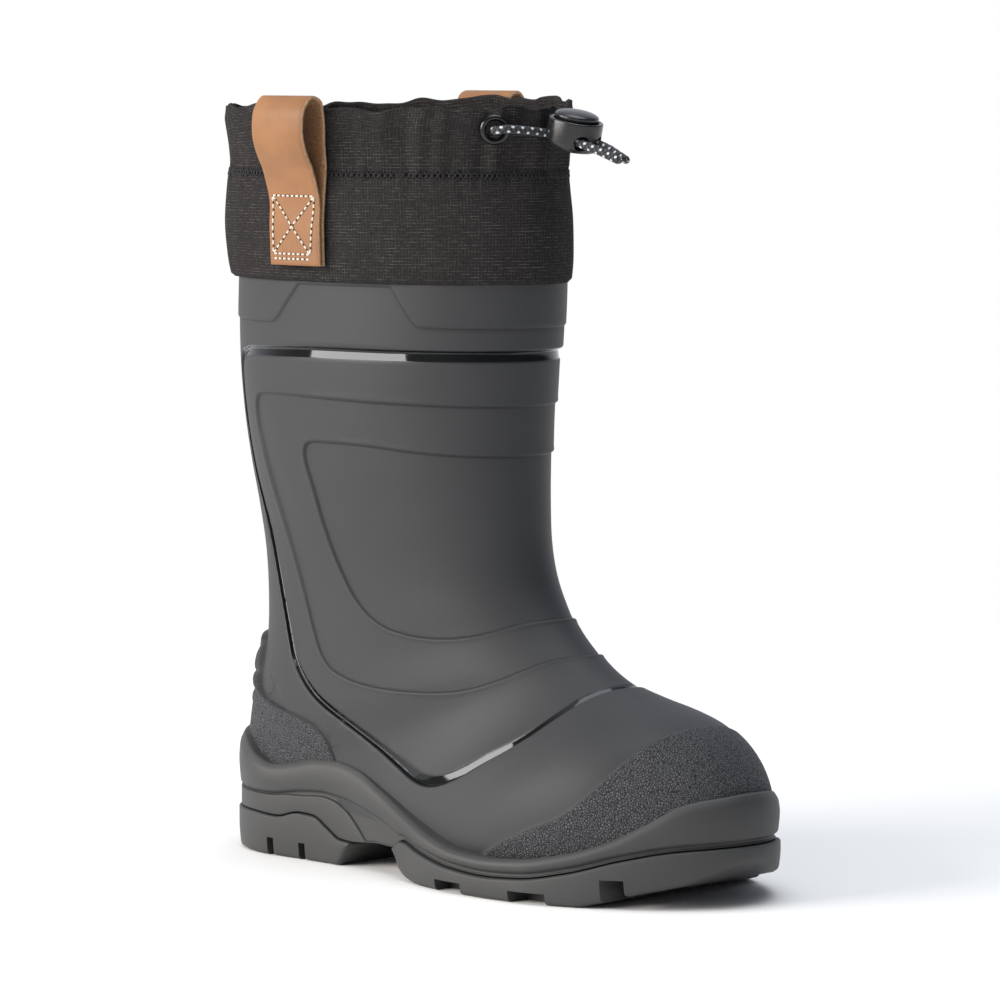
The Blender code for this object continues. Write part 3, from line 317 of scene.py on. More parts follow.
# ---- curves and the shell's own function ------------------
def hermite(part, start, end, slope_start, slope_end, width=1.0):
    """Values between start and end that leave and arrive with the slopes given."""
    a = 2 * part**3 - 3 * part**2 + 1
    b = (part**3 - 2 * part**2 + part) * width
    c = -2 * part**3 + 3 * part**2
    d = (part**3 - part**2) * width
    return a * start + b * slope_start + c * end + d * slope_end


def cubic(table, positions):
    """Smooth curve through the rows of table, one row per whole position."""
    rows = np.asarray(table, dtype=float)
    last = len(rows) - 1
    where = np.clip(np.asarray(positions, dtype=float), 0.0, last)
    index = np.minimum(where.astype(int), last - 1)
    part = (where - index)[:, None]
    p1, p2 = rows[index], rows[index + 1]
    p0 = np.where((index > 0)[:, None], rows[np.maximum(index - 1, 0)], 2 * p1 - p2)
    p3 = np.where((index < last - 1)[:, None], rows[np.minimum(index + 2, last)], 2 * p2 - p1)
    return hermite(part, p1, p2, 0.5 * (p2 - p0), 0.5 * (p3 - p1))


def even_curve(points, spacing):
    """Smooth curve through unevenly spaced points, without overshoot, with points about spacing apart."""
    rows = np.asarray(points, dtype=float)
    gap = np.maximum(np.linalg.norm(np.diff(rows[:, :2], axis=0), axis=1), 1e-6)[:, None]
    chord = np.diff(rows, axis=0) / gap
    inner = (chord[:-1] * gap[1:] + chord[1:] * gap[:-1]) / (gap[:-1] + gap[1:])
    slope = np.vstack([chord[:1], inner, chord[-1:]])
    result = []
    for i in range(len(rows) - 1):
        count = max(1, int(math.ceil(gap[i, 0] / spacing)))
        for part in np.arange(count) / count:
            result.append(hermite(part, rows[i], rows[i + 1], slope[i], slope[i + 1], gap[i]))
    return np.array(result + [rows[-1]])


def height_at(table, x):
    """Height of a side line at x, smooth between the rows and never past them."""
    rows = np.asarray(table, dtype=float)
    x = np.clip(np.asarray(x, dtype=float), rows[0, 0], rows[-1, 0])
    chord = np.diff(rows[:, 1]) / np.diff(rows[:, 0])
    same = chord[1:] * chord[:-1] > 0.0
    safe = np.where(same, chord[1:] + chord[:-1], 1.0)
    inner = np.where(same, 2.0 * chord[1:] * chord[:-1] / safe, 0.0)
    slope = np.concatenate([chord[:1], inner, chord[-1:]])
    index = np.clip(np.searchsorted(rows[:, 0], x, side="right") - 1, 0, len(rows) - 2)
    width = rows[index + 1, 0] - rows[index, 0]
    part = (x - rows[index, 0]) / width
    return hermite(part, rows[index, 1], rows[index + 1, 1], slope[index], slope[index + 1], width)


def ease(low, high, value):
    """0 below low, 1 above high, smooth between them."""
    share = np.clip((value - low) / (high - low), 0.0, 1.0)
    return share * share * (3.0 - 2.0 * share)


def hump(value, middle, spread):
    """1 at the middle, falling off on both sides."""
    return np.exp(-((value - middle) / spread) ** 2)


def unit(rows):
    """Rows scaled to a length of 1."""
    return rows / np.maximum(np.linalg.norm(rows, axis=-1, keepdims=True), TINY)


def distances(points):
    """How far each point of a line lies along it."""
    return np.concatenate([[0.0], np.cumsum(np.linalg.norm(np.diff(points, axis=0), axis=1))])


def turns(count):
    """Angles that divide a circle evenly."""
    return np.arange(count) * 2.0 * math.pi / count


def swing(x, z):
    """Sideways place of the boot's middle: the toe turns in, the shaft leans out."""
    share = ease(*SWING_FADE, z)
    return TOE_SWING * (np.clip(x, 0.0, None) / SOLE_LENGTH) ** 2 * (1.0 - share) - SHAFT_LEAN * share


def squared_ring(angle, front_round, back_round):
    """Places along (front 1, back -1) and across a ring that is squarer the more its roundness passes 2."""
    power = 2.0 / np.where(np.cos(angle) >= 0.0, front_round, back_round)
    return [np.sign(part) * np.abs(part) ** power for part in (np.cos(angle), np.sin(angle))]


def shell_point(position, angle):
    """Points of the shell's outermost surface, for equal arrays of section positions and angles."""
    front_x, front_z, back_x, back_z, half, widest, front_round, back_round = cubic(SECTIONS, position).T
    along, across = squared_ring(angle, front_round, back_round)
    share = np.where(along >= 0.0, widest * (1.0 - along), widest - (1.0 - widest) * along)
    x = front_x + (back_x - front_x) * share
    z = front_z + (back_z - front_z) * share
    return np.stack([x, half * across + swing(x, z), z], axis=1)


def shell_at(position, angle):
    """Points of the shell's outermost surface and the directions out of it."""
    before = np.clip(position - NUDGE, 0.0, None)
    after = np.clip(position + NUDGE, None, len(SECTIONS) - 1.0)
    along = shell_point(after, angle) - shell_point(before, angle)
    around = shell_point(position, angle + NUDGE) - shell_point(position, angle - NUDGE)
    return shell_point(position, angle), unit(np.cross(along, around))


# ---- meshes -----------------------------------------------
def add_object(name, data):
    """Object with its data, put into the scene."""
    item = bpy.data.objects.new(name, data)
    bpy.context.scene.collection.objects.link(item)
    return item


def weld(work):
    """Join points that coincide."""
    bmesh.ops.remove_doubles(work, verts=work.verts, dist=WELD)


def turn_out(work):
    """Turn every face outwards."""
    bmesh.ops.recalc_face_normals(work, faces=work.faces)


def join_rims(work):
    """Close the shell wall's top and bottom edges."""
    for low, high in RIM_LEVELS:
        edges = [e for e in work.edges if e.is_boundary and low < e.verts[0].co.z < high]
        bmesh.ops.bridge_loops(work, edges=edges)


def add_mesh(name, points, faces, look, values=None, steps=(weld, turn_out)):
    """Smooth mesh object from points in millimetres, with named values at them, after the steps given."""
    mesh = bpy.data.meshes.new(name)
    mesh.from_pydata(((np.asarray(points) - ORIGIN) * MM).tolist(), [], [list(map(int, f)) for f in faces])
    for key, numbers in (values or {}).items():
        kept = mesh.attributes.new(key, "FLOAT", "POINT")
        kept.data.foreach_set("value", np.asarray(numbers, dtype=np.float32))
    work = bmesh.new()
    work.from_mesh(mesh)
    for step in steps:
        step(work)
    work.to_mesh(mesh)
    work.free()
    mesh.materials.append(look)
    mesh.shade_smooth()
    return add_object(name, mesh)


def grid_faces(rows, columns, closed=False):
    """Quads of a grid of points, row by row; closed joins the last column to the first."""
    width = columns if closed else columns - 1
    low = (np.arange(rows - 1)[:, None] * columns + np.arange(width)[None, :]).ravel()
    step = (np.arange(width) + 1) % columns - np.arange(width)
    right = low + np.tile(step, rows - 1)
    return np.stack([low, right, right + columns, low + columns], axis=1)


def tube_faces(rows, sides, start=0, seam=0):
    """Faces of a tube and its two ends; with a seam of 1, each ring ends with a copy of its first point."""
    faces = start + grid_faces(rows, sides + seam, closed=not seam)
    last = start + (rows - 1) * (sides + seam)
    return faces.tolist() + [list(range(start + sides - 1, start - 1, -1)), list(range(last, last + sides))]


def folded_faces(rows, around):
    """Faces of a tube whose flat ends are closed by strips from one half of the ring to the other."""
    faces = grid_faces(rows, around, closed=True).tolist()
    last = (rows - 1) * around
    for i in range(around // 2 - 1):
        mirror = around - 1 - i
        faces.append((i + 1, i, mirror, mirror - 1))
        faces.append((last + i, last + i + 1, last + mirror - 1, last + mirror))
    return faces


def round_off(before, here, after, radius, shares):
    """Points of the curve that takes a corner's place, never longer than part of either side."""
    back, on = before - here, after - here
    shorter = np.minimum(*(np.linalg.norm(side, axis=-1, keepdims=True) for side in (back, on)))
    radius = np.minimum(radius, CORNER_SHARE * shorter)
    start, end = here + unit(back) * radius, here + unit(on) * radius
    return [(1 - t) ** 2 * start + 2 * t * (1 - t) * here + t * t * end for t in shares]


def boolean(target, cutter):
    """Cut the cutter out of the target."""
    step = target.modifiers.new("cut", "BOOLEAN")
    step.operation, step.solver, step.object = "DIFFERENCE", "EXACT", cutter
    depsgraph = bpy.context.evaluated_depsgraph_get()
    depsgraph.update()
    result = bpy.data.meshes.new_from_object(target.evaluated_get(depsgraph))
    target.modifiers.clear()
    target.data = result
    bpy.data.objects.remove(cutter, do_unlink=True)


def box(x0, x1, z0, z1, y0, y1):
    """Upright block for cutter(), as its outline from the side and its two sides."""
    return ((x0, z0), (x1, z0), (x1, z1), (x0, z1)), y0, y1


def cutter(boxes):
    """One mesh of side-view prisms: (outline, y_low, y_high)."""
    points, faces = [], []
    for outline, low, high in boxes:
        faces += tube_faces(2, len(outline), len(points))
        points += [(x, y, z) for y in (low, high) for x, z in outline]
    return add_mesh("cutter", points, faces, None, steps=(turn_out,))


def sharpen(item, degrees=38.0):
    """Smooth shading with sharp edges above an angle."""
    item.data.shade_smooth()
    item.data.set_sharp_from_angle(angle=math.radians(degrees))
    return item


# ---- materials --------------------------------------------
class Value:
    """What a node puts out, with the usual operators."""

    def __init__(self, nodes, socket):
        self.nodes, self.socket = nodes, socket

    def math(self, operation, *others):
        return self.nodes.node("Math", (self, *others), operation=operation)

    __add__ = partialmethod(math, "ADD")
    __sub__ = partialmethod(math, "SUBTRACT")
    __mul__ = partialmethod(math, "MULTIPLY")
    __truediv__ = partialmethod(math, "DIVIDE")
    __pow__ = partialmethod(math, "POWER")

    def left_over(self):
        """1 less the value."""
        return self.nodes.node("Math", (1.0, self), operation="SUBTRACT")


class Nodes:
    """Short way to build the nodes of a material or a world."""

    def __init__(self, owner, space="Object"):
        owner.use_nodes = True
        self.owner, self.tree = owner, owner.node_tree
        self.where = self.node("TexCoord", output=space)

    def put(self, target, value):
        if isinstance(value, Value):
            self.tree.links.new(value.socket, target)
        elif value is not None:
            target.default_value = (*value, 1.0) if target.type == "RGBA" else value

    def node(self, kind, inputs=(), output=0, **settings):
        """New node with its settings and its inputs, by place or by name."""
        item = self.tree.nodes.new("ShaderNode" + kind)
        for key, value in settings.items():
            setattr(item, key, value)
        for key, value in inputs.items() if isinstance(inputs, dict) else enumerate(inputs):
            self.put(item.inputs[key], value)
        return Value(self, item.outputs[output])

    def value(self, name):
        """Value kept at the mesh's points."""
        return self.node("Attribute", output="Fac", attribute_name=name)

    def ramp(self, value, low, high, start=0.0, end=1.0):
        return self.node("MapRange", (value, low, high, start, end), interpolation_type="SMOOTHSTEP")

    def middle(self, noise, start=0.0, end=1.0):
        """Noise spread from start to end, since it seldom leaves the middle of its range."""
        return self.ramp(noise, 0.3, 0.7, start, end)

    def noise(self, scale, detail=2.0, roughness=0.6, where=None):
        inputs = {"Vector": where or self.where, "Scale": scale, "Detail": detail, "Roughness": roughness}
        return self.node("TexNoise", inputs)

    def cells(self, scale, feature):
        return self.node("TexVoronoi", {"Vector": self.where, "Scale": scale}, "Distance", feature=feature)

    def mix(self, share, a, b):
        return self.node("Mix", {0: share, 6: a, 7: b}, 2, data_type="RGBA")

    def bump(self, height, distance, strength):
        return self.node("Bump", {"Strength": strength, "Distance": distance, "Height": height})

    def finish(self, colour, roughness, bump=None, specular=0.5, **extra):
        shader = self.tree.nodes["Principled BSDF"]
        inputs = {"Base Color": colour, "Roughness": roughness, "Normal": bump}
        for key, value in {**inputs, "Specular IOR Level": specular, **extra}.items():
            self.put(shader.inputs[key.replace("_", " ")], value)
        return self.owner


def new_look(name):
    return Nodes(bpy.data.materials.new(name))


def shell_look():
    """Moulded foam: pebbled where grain is 1, with painted shade between the pebbles, glossy where gloss is
    1, and painted shade in the corners of its steps.
    """
    n = new_look("shell_foam")
    grain, gloss = n.value("grain"), n.value("gloss")
    cloud = n.noise(14.0, 3.0, 0.55)
    fine, skin, warp = n.noise(2600.0), n.noise(700.0, 3.0), n.noise(900.0, 1.0, 0.5)
    pits = n.cells(PEBBLES, "DISTANCE_TO_EDGE")
    plain = n.mix(n.middle(cloud), (0.0335, 0.0343, 0.0369), (0.0401, 0.0409, 0.0435))
    # painted shade: the pebbled colour is darkest in the crevices between the pebbles, lighter on their tops
    pebbled = n.mix(n.ramp(pits, 0.02, 0.20), (0.012, 0.012, 0.0135), (0.104, 0.106, 0.115))
    # painted shade: the line mask darkens the colour in the corners at the foot of each step
    colour = n.mix(n.value("line") * 0.7, n.mix(grain, plain, pebbled), (0.007, 0.007, 0.008))
    colour = n.mix(gloss, colour, (0.039, 0.0405, 0.042))
    dull = (n.middle(cloud, 0.53, 0.60) + grain * 0.10) * (gloss * 0.90).left_over()
    lumps = n.ramp(pits, 0.0, 0.30, 0.0, 0.7) + warp * 0.35 - n.cells(PEBBLES, "F1") * 0.35
    height = (fine * 0.05 + skin * 0.07) * grain.math("MAXIMUM", gloss).left_over() + lumps * grain
    return n.finish(colour, dull, n.bump(height, 0.00055, 0.9), 0.32, Metallic=gloss * 0.9)


def sole_look():
    n = new_look("sole_rubber")
    cloud = n.noise(20.0, 3.0, 0.55)
    colour = n.mix(n.middle(cloud), (0.043, 0.043, 0.043), (0.052, 0.052, 0.052))
    return n.finish(colour, n.middle(cloud, 0.50, 0.58), n.bump(n.noise(2200.0), 0.00006, 0.5), 0.4)


def cloth_look():
    """Ripstop weave: fine threads, a square grid of heavier ones and pale slubs, most along the rows."""
    n = new_look("collar_cloth")
    u, v = n.value("around"), n.value("up")

    def stretched(around, up, *detail):
        return n.noise(1.0, *detail, where=n.node("CombineXYZ", (u * around, v * up)))

    weave = (u * 10.5).math("SINE") * (v * 10.5).math("SINE")
    rows = n.ramp(v.math("PINGPONG", 0.55), 0.0, 0.24, 1.0, 0.0)
    columns = n.ramp(u.math("PINGPONG", 0.65), 0.0, 0.24, 1.0, 0.0)
    mottle = stretched(1.1, 1.6, 3.0, 0.65)
    row = rows * n.ramp(stretched(0.24, 1.9), 0.42, 0.72, 0.05, 1.0)
    column = columns * n.ramp(stretched(1.7, 0.28), 0.42, 0.78, 0.08, 0.75)
    lines = row.math("MAXIMUM", column) * n.middle(stretched(0.06, 0.09, 2.0, 0.5), 0.55, 1.0)
    base = n.mix(n.ramp(mottle, 0.25, 0.75), (0.0145, 0.0133, 0.0133), (0.035, 0.032, 0.032))
    colour = n.mix(lines, base, (0.125, 0.116, 0.112))
    height = weave * 0.2 + rows.math("MAXIMUM", columns) * 0.5 + mottle * 0.5
    return n.finish(colour, 0.88, n.bump(height, 0.00022, 0.9), 0.05)


def leather_look():
    n = new_look("leather")
    edge, inner = n.value("edge"), n.value("inner")
    cloud, pores, fibres = n.noise(60.0, 4.0), n.noise(1900.0, 3.0), n.noise(1300.0, 4.0, 0.75)
    face = n.mix(n.middle(cloud), (0.250, 0.114, 0.047), (0.310, 0.146, 0.062))
    face = n.mix(n.ramp(pores, 0.60, 0.78, 0.0, 0.25), face, (0.150, 0.062, 0.024))
    suede = n.mix(n.middle(fibres), (0.20, 0.092, 0.038), (0.40, 0.215, 0.10))
    rim = n.mix(n.middle(fibres), (0.32, 0.18, 0.095), (0.58, 0.37, 0.22))
    colour = n.mix(edge, n.mix(inner, face, suede), rim)
    height = pores * 0.35 + fibres * inner.math("MAXIMUM", edge)
    return n.finish(colour, n.middle(cloud, 0.50, 0.64), n.bump(height, 0.00025, 0.8), 0.35)


def cord_look():
    """Braid of dark yarns with rows of pale flecks."""
    n = new_look("cord_braid")
    s, a = n.value("along"), n.value("turn")
    left, right = ((s * 0.60).math(way, a * 4.0).math("PINGPONG", 0.5) for way in ("ADD", "SUBTRACT"))
    braid = n.ramp(left, 0.0, 0.25) * n.ramp(right, 0.0, 0.25)
    row = a * FLECK_ROWS
    along = (s / FLECK_PITCH + row.math("FLOOR") * 0.6).math("FRACT") - 0.5
    across = row.math("FRACT") - 0.5
    distance = ((along * FLECK_PITCH) ** 2.0 + (across * FLECK_SPACING) ** 2.0).math("SQRT")
    fleck = n.ramp(distance, 0.42, 0.68, 1.0, 0.0)
    colour = n.mix(fleck, n.mix(braid, (0.005, 0.006, 0.008), (0.038, 0.041, 0.048)), (0.72, 0.73, 0.76))
    return n.finish(colour, 0.62, n.bump(braid + fleck * 0.6, 0.0003, 0.9), 0.4, Sheen_Weight=0.1)


def plastic_look(name, colour, roughness):
    n = new_look(name)
    cloud = n.noise(160.0, 3.0)
    return n.finish(
        n.mix(n.middle(cloud), tuple(0.75 * c for c in colour), colour),
        n.middle(cloud, roughness - 0.04, roughness + 0.05), n.bump(n.noise(2400.0), 0.00006, 0.5),
    )


def thread_look(name, low, high):
    n = new_look(name)
    twist = n.noise(2600.0)
    return n.finish(n.mix(n.middle(twist), low, high), 0.7, n.bump(twist, 0.0001, 0.6))


def bed_look():
    n = new_look("foot_bed")
    cloud, fuzz = n.noise(30.0, 3.0), n.noise(1500.0, 4.0, 0.8)
    colour = n.mix(n.middle(fuzz), (0.020, 0.020, 0.021), (0.060, 0.060, 0.062))
    return n.finish(colour, n.middle(cloud, 0.86, 0.96), n.bump(fuzz, 0.0004, 0.9), 0.2)


# ---- shell ------------------------------------------------
def cut_along(params, cells, fields, measure, evaluate):
    """Split the triangles that the line measure(fields) = 0 crosses, so that edges lie on it."""
    value = measure(fields)
    value = np.where(np.abs(value) < ON_LINE, 0.0, value)
    sign = np.sign(value).astype(int)[cells]
    crossed = (sign.min(axis=1) < 0) & (sign.max(axis=1) > 0)
    keep, work, sign = cells[~crossed], cells[crossed], sign[crossed]
    if len(work) == 0:
        return params, cells, fields
    # turn each triangle so that its first corner lies on the line, or alone on its side of it
    zero = (sign == 0).any(axis=1)
    lone = np.where(sign.sum(axis=1) > 0, -1, 1)
    odd = np.where(zero, np.argmax(sign == 0, axis=1), np.argmax(sign == lone[:, None], axis=1))
    a, b, c = np.take_along_axis(work, (odd[:, None] + np.arange(3)[None, :]) % 3, axis=1).T
    a0, b0, c0 = a[zero], b[zero], c[zero]
    a1, b1, c1 = a[~zero], b[~zero], c[~zero]
    count = len(params)
    pairs = [np.stack(pair, axis=1) for pair in ((b0, c0), (a1, b1), (a1, c1))]
    pairs = np.sort(np.concatenate(pairs), axis=1)
    unique, place = np.unique(pairs[:, 0] * (count + 1) + pairs[:, 1], return_inverse=True)
    i, j = unique // (count + 1), unique % (count + 1)
    part = (value[i] / (value[i] - value[j]))[:, None]
    middle = params[i] * (1.0 - part) + params[j] * part
    params, fields = np.vstack([params, middle]), np.vstack([fields, evaluate(middle)])
    m, p, q = np.split(place.ravel() + count, (len(a0), len(a0) + len(a1)))
    split = ((a0, b0, m), (a0, m, c0), (a1, p, q), (p, b1, c1), (p, c1, q))
    return params, np.concatenate([keep] + [np.stack(corners, axis=1) for corners in split]), fields


def line_distance(line, x, z):
    """Distance from a closed side line (negative inside), its direction and the line's other columns."""
    line = np.asarray(line, dtype=float)
    start, end = line, np.roll(line, -1, axis=0)
    step = (end - start)[:, :2]
    length = np.maximum((step**2).sum(axis=1), TINY_SQUARE)
    slope = np.where(np.abs(step[:, 1]) < TINY_SQUARE, TINY_SQUARE, step[:, 1])
    result = np.empty((len(x), 1 + line.shape[1]))
    for low in range(0, len(x), BATCH):
        px, pz = x[low:low + BATCH, None], z[low:low + BATCH, None]
        part = np.clip(((px - start[:, 0]) * step[:, 0] + (pz - start[:, 1]) * step[:, 1]) / length, 0.0, 1.0)
        dx, dz = px - start[:, 0] - part * step[:, 0], pz - start[:, 1] - part * step[:, 1]
        square = dx * dx + dz * dz
        best = np.argmin(square, axis=1)
        pick = np.arange(len(best)), best
        distance = np.sqrt(square[pick])
        above = (start[:, 1] > pz) != (end[:, 1] > pz)
        crossing = start[:, 0] + (pz - start[:, 1]) / slope * step[:, 0]
        inside = ((above & (px < crossing)).sum(axis=1) % 2) == 1
        sign = np.where(inside, -1.0, 1.0)
        share = part[pick][:, None]
        rows = result[low:low + BATCH]
        rows[:, 0] = sign * distance
        rows[:, 1] = sign * dx[pick] / np.maximum(distance, TINY)
        rows[:, 2] = sign * dz[pick] / np.maximum(distance, TINY)
        rows[:, 3:] = start[best, 2:] * (1.0 - share) + end[best, 2:] * share
    return result


def side_line(points, ends=1):
    """Closed smooth side line whose ends are joined far in front of (1) or behind (-1) the boot."""
    curve = even_curve(points, LINE_SPACING)
    far = curve[[-1, 0]].copy()
    far[:, 0] = BEYOND * ends
    return np.vstack([curve, far])


# columns of the shell's fields: the point, the way out of the shell, then signed distances in millimetres
X, Y, Z, NX, NY, NZ, OUTER, GROOVE, MIDDLE, INNER, CAP, COUNTER, CREASE, BAND, FLOOR, KICK = range(16)
LINES = {
    OUTER: side_line(PANEL_OUTER), MIDDLE: side_line(PANEL_MIDDLE), INNER: side_line(PANEL_INNER),
    CAP: side_line(TOE_CAP), COUNTER: side_line(HEEL_COUNTER, -1), CREASE: side_line(HEEL_CREASE, -1),
}

# cuts along the groove, (share of its width, millimetres) from its middle, and offsets along the other lines
GROOVE_RAILS = (
    (0.5, 0.6), (0.5, 0.0), (0.45, 0.0), (-0.5, -0.6), (-0.5, 0.0), (-0.45, 0.0), (-0.36, 0.0), (-0.24, 0.0),
    (-0.12, 0.0),
)
PANEL_RAILS, OVERLAY_RAILS = (1.0, 0.5, 0.2, -0.1, -0.5, -1.0), (0.7, 0.45, 0.2, 0.0, -0.5)
RELIEF_RAILS = (
    (MIDDLE, PANEL_RAILS), (INNER, PANEL_RAILS), (COUNTER, OVERLAY_RAILS), (BAND, OVERLAY_RAILS),
    (CAP, (0.7, 0.0, -0.7)), (CREASE, (1.1, -1.1)), (KICK, (0.0,)),
)


def shell_fields(params):
    """All that the shell's relief depends on, at pairs of section position and angle."""
    point, normal = shell_at(params[:, 0], params[:, 1])
    x, y, z = point.T
    result = np.empty((len(x), 16))
    result[:, :3] = point
    result[:, 3:6] = normal
    for column, line in LINES.items():
        found = line_distance(line, x, z)
        facing = found[:, 1] * normal[:, 0] + found[:, 2] * normal[:, 2]
        result[:, column] = found[:, 0] / np.sqrt(np.clip(1.0 - facing**2, LEAST_SLANT, 1.0))
        if column == OUTER:
            result[:, GROOVE] = found[:, 3]
    above, beside = COLLAR_LINE - z, -line_distance(PLAQUE, x, z)[:, 0]
    rounded_corner = 0.5 * (above + beside + np.sqrt((above - beside) ** 2 + PLAQUE_CORNER**2))
    result[:, BAND] = np.where(y < 0.0, rounded_corner, above)
    result[:, FLOOR] = z - height_at(CUP_FLOOR, x) - CLEARANCE
    radius = np.interp(z, *zip(*KICK_PROFILE))
    result[:, KICK] = np.where(x < KICK_FRONT, radius - np.hypot(x - KICK_CENTRE, y), OFF_PLATE)
    return result


def shell_relief(f):
    """How far the finished surface stands from the outermost one, with masks for grain, gloss and dark lines
    of painted shade at the foot of each step.

    Each edge of the relief runs smoothly over the distances from its line that ease() is given.
    """
    half = 0.5 * f[:, GROOVE]
    across = f[:, OUTER]
    # a long flat face from the inner edge down to the deepest line, and a short steep one beyond it
    share = across / half
    height = -STEP * ease(1.0, GROOVE_DEEPEST, share)
    long_face = (1.0 + share) / (1.0 + GROOVE_DEEPEST)
    short_face = (1.0 - share) / (1.0 - GROOVE_DEEPEST)
    trough = -np.logaddexp(-GROOVE_CREASE * long_face, -GROOVE_CREASE * short_face) / GROOVE_CREASE
    trough = np.clip(trough, 0.0, 1.0)
    height -= GROOVE_DEPTH * trough + 0.3 * ease(half + 0.45, half - 0.05, np.abs(across))
    for column in (MIDDLE, INNER):
        height -= STEP * ease(0.5, -0.5, f[:, column])
        height += PANEL_LIP * hump(f[:, column], 0.9, 0.5)
    counter = f[:, COUNTER]
    height += OVERLAY_RAISE * ease(0.7, -0.7, f[:, CAP])
    height += (OVERLAY_RAISE + COUNTER_HEEL_RAISE * ease(36.0, 14.0, f[:, X])) * ease(0.5, -0.5, counter)
    height += COUNTER_LIP * hump(counter, -1.1, 0.9) * (counter < 0.5)
    height -= CREASE_DEPTH * ease(1.1, -1.1, f[:, CREASE]) * ease(-0.5, 0.5, counter)
    height += COLLAR_RAISE * ease(0.45, -0.45, f[:, BAND])
    plate = f[:, KICK] * ease(0.6, -1.4, counter)
    height = np.where(f[:, KICK] > 0.0, np.maximum(height, plate), height)
    gloss = ease(half + 0.15, half - 0.15, np.abs(across))
    grain = np.maximum(ease(0.9, -0.9, f[:, CAP]), ease(0.1, -0.5, counter) * ease(66.0, 61.0, f[:, Z]))
    # line: painted shade along the foot of each step edge
    line = 0.0
    for column, place in ((MIDDLE, -0.45), (INNER, -0.45), (COUNTER, 0.45), (BAND, 0.45)):
        line = np.maximum(line, hump(f[:, column], place, 0.30))
    return height, {"grain": grain, "gloss": gloss, "line": line}


def spaced(stops):
    """Numbers from one stop to the next, each stretch with its own step."""
    parts = [np.arange(a, b - 1e-6, step) for (a, step), (b, _) in zip(stops, stops[1:])]
    return np.append(np.concatenate(parts), stops[-1][0])


def shell_grid(stops, angle_count):
    """Open grid of section positions and angles, in triangles."""
    positions, angles = spaced(stops), np.linspace(-math.pi, math.pi, angle_count)
    params = np.stack([v.ravel() for v in np.meshgrid(positions, angles, indexing="ij")], axis=1)
    quads = grid_faces(len(positions), len(angles))
    return params, np.concatenate([quads[:, [0, 1, 2]], quads[:, [0, 2, 3]]])


def above_floor(cells, fields):
    """The triangles that lie on the shell's part above the foot bed."""
    return cells[fields[cells][:, :, FLOOR].min(axis=1) > -FLOOR_SLACK]


def outer_wall():
    """Outside of the shell, with edges along every line of its relief."""
    params, cells = shell_grid(OUTSIDE_STOPS, OUTSIDE_ANGLES)
    fields = shell_fields(params)
    cells = cells[(fields[cells][:, :, FLOOR] > -FLOOR_MARGIN).any(axis=1)]
    rails = [(FLOOR, 0.0, 0.0)]
    rails += [(OUTER, share, more) for share, more in GROOVE_RAILS]
    rails += [(column, 0.0, -offset) for column, offsets in RELIEF_RAILS for offset in offsets]
    for column, share, more in rails:
        params, cells, fields = cut_along(
            params, cells, fields, lambda f: f[:, column] + share * f[:, GROOVE] + more, shell_fields)
    return above_floor(cells, fields), fields


def inner_face(fields):
    """Points of the wall's inside."""
    return fields[:, :3] - fields[:, 3:6] * SHELL_WALL


def inner_wall():
    """Coarser grid for the inside of the shell, cut at the foot bed."""
    def inside_fields(values):
        result = shell_fields(values)
        inside = inner_face(result)
        result[:, FLOOR] = inside[:, 2] - height_at(CUP_FLOOR, inside[:, 0]) - CLEARANCE
        return result

    params, cells = shell_grid(INSIDE_STOPS, INSIDE_ANGLES)
    _, cells, fields = cut_along(params, cells, inside_fields(params), lambda f: f[:, FLOOR], inside_fields)
    return above_floor(cells, fields)[:, ::-1], fields


def make_shell(look):
    """The moulded wall, its outside in relief and its inside plain."""
    cells, fields = outer_wall()
    height, masks = shell_relief(fields)
    inner_cells, inner_fields = inner_wall()
    outside = fields[:, :3] + fields[:, 3:6] * height[:, None]
    points = np.vstack([outside, inner_face(inner_fields)])
    used, place = np.unique(np.vstack([cells, inner_cells + len(fields)]), return_inverse=True)
    bare = np.zeros(len(inner_fields))
    values = {key: np.concatenate([mask, bare])[used] for key, mask in masks.items()}
    return add_mesh("shell", points[used], place.reshape(-1, 3), look, values, (weld, join_rims, turn_out))


# ---- sole -------------------------------------------------
def sole_half_width(x):
    """Half width of the sole's outline, with a round heel and toe."""
    ball = SOLE_WIDTHS[-1][1]
    toe_share = np.clip((x - TOE_START) / (SOLE_LENGTH - TOE_START), 0.0, 1.0)
    heel_share = np.clip((HEEL_RADIUS - x) / HEEL_RADIUS, 0.0, 1.0)
    toe = ball * np.sqrt(np.clip(1.0 - toe_share**TOE_ROUNDNESS, 0.0, None))
    heel = HEEL_RADIUS * np.sqrt(np.clip(1.0 - heel_share**2, 0.0, None))
    return np.where(x < HEEL_RADIUS, heel, np.where(x > TOE_START, toe, height_at(SOLE_WIDTHS, x)))


def outline_ring(xs, offset):
    """The sole's outer and inner sides at xs, moved outwards by offset."""
    half = sole_half_width(xs)
    low, high = np.clip(xs - 0.01, 0.0, None), np.clip(xs + 0.01, None, SOLE_LENGTH)
    slope = (sole_half_width(high) - sole_half_width(low)) / (high - low)
    length = np.sqrt(1.0 + slope**2)
    out_x, out_y = xs - offset * slope / length, half + offset / length
    return [np.stack([out_x, swing(xs, 0.0) + side * out_y], axis=1) for side in (-1.0, 1.0)]


def rounded(profile, count):
    """Rows of (offsets, heights) with each inner corner of the profile rounded by its radius."""
    corners = [np.stack([np.broadcast_to(o, (count,)), h + np.zeros(count)], axis=1) for o, h, _ in profile]
    rows = [corners[0]]
    for before, here, after, (_, _, radius) in zip(corners, corners[1:], corners[2:], profile[1:]):
        rows += round_off(before, here, after, radius, (0.0, 0.33, 0.67, 1.0))
    return [row.T for row in rows + [corners[-1]]]


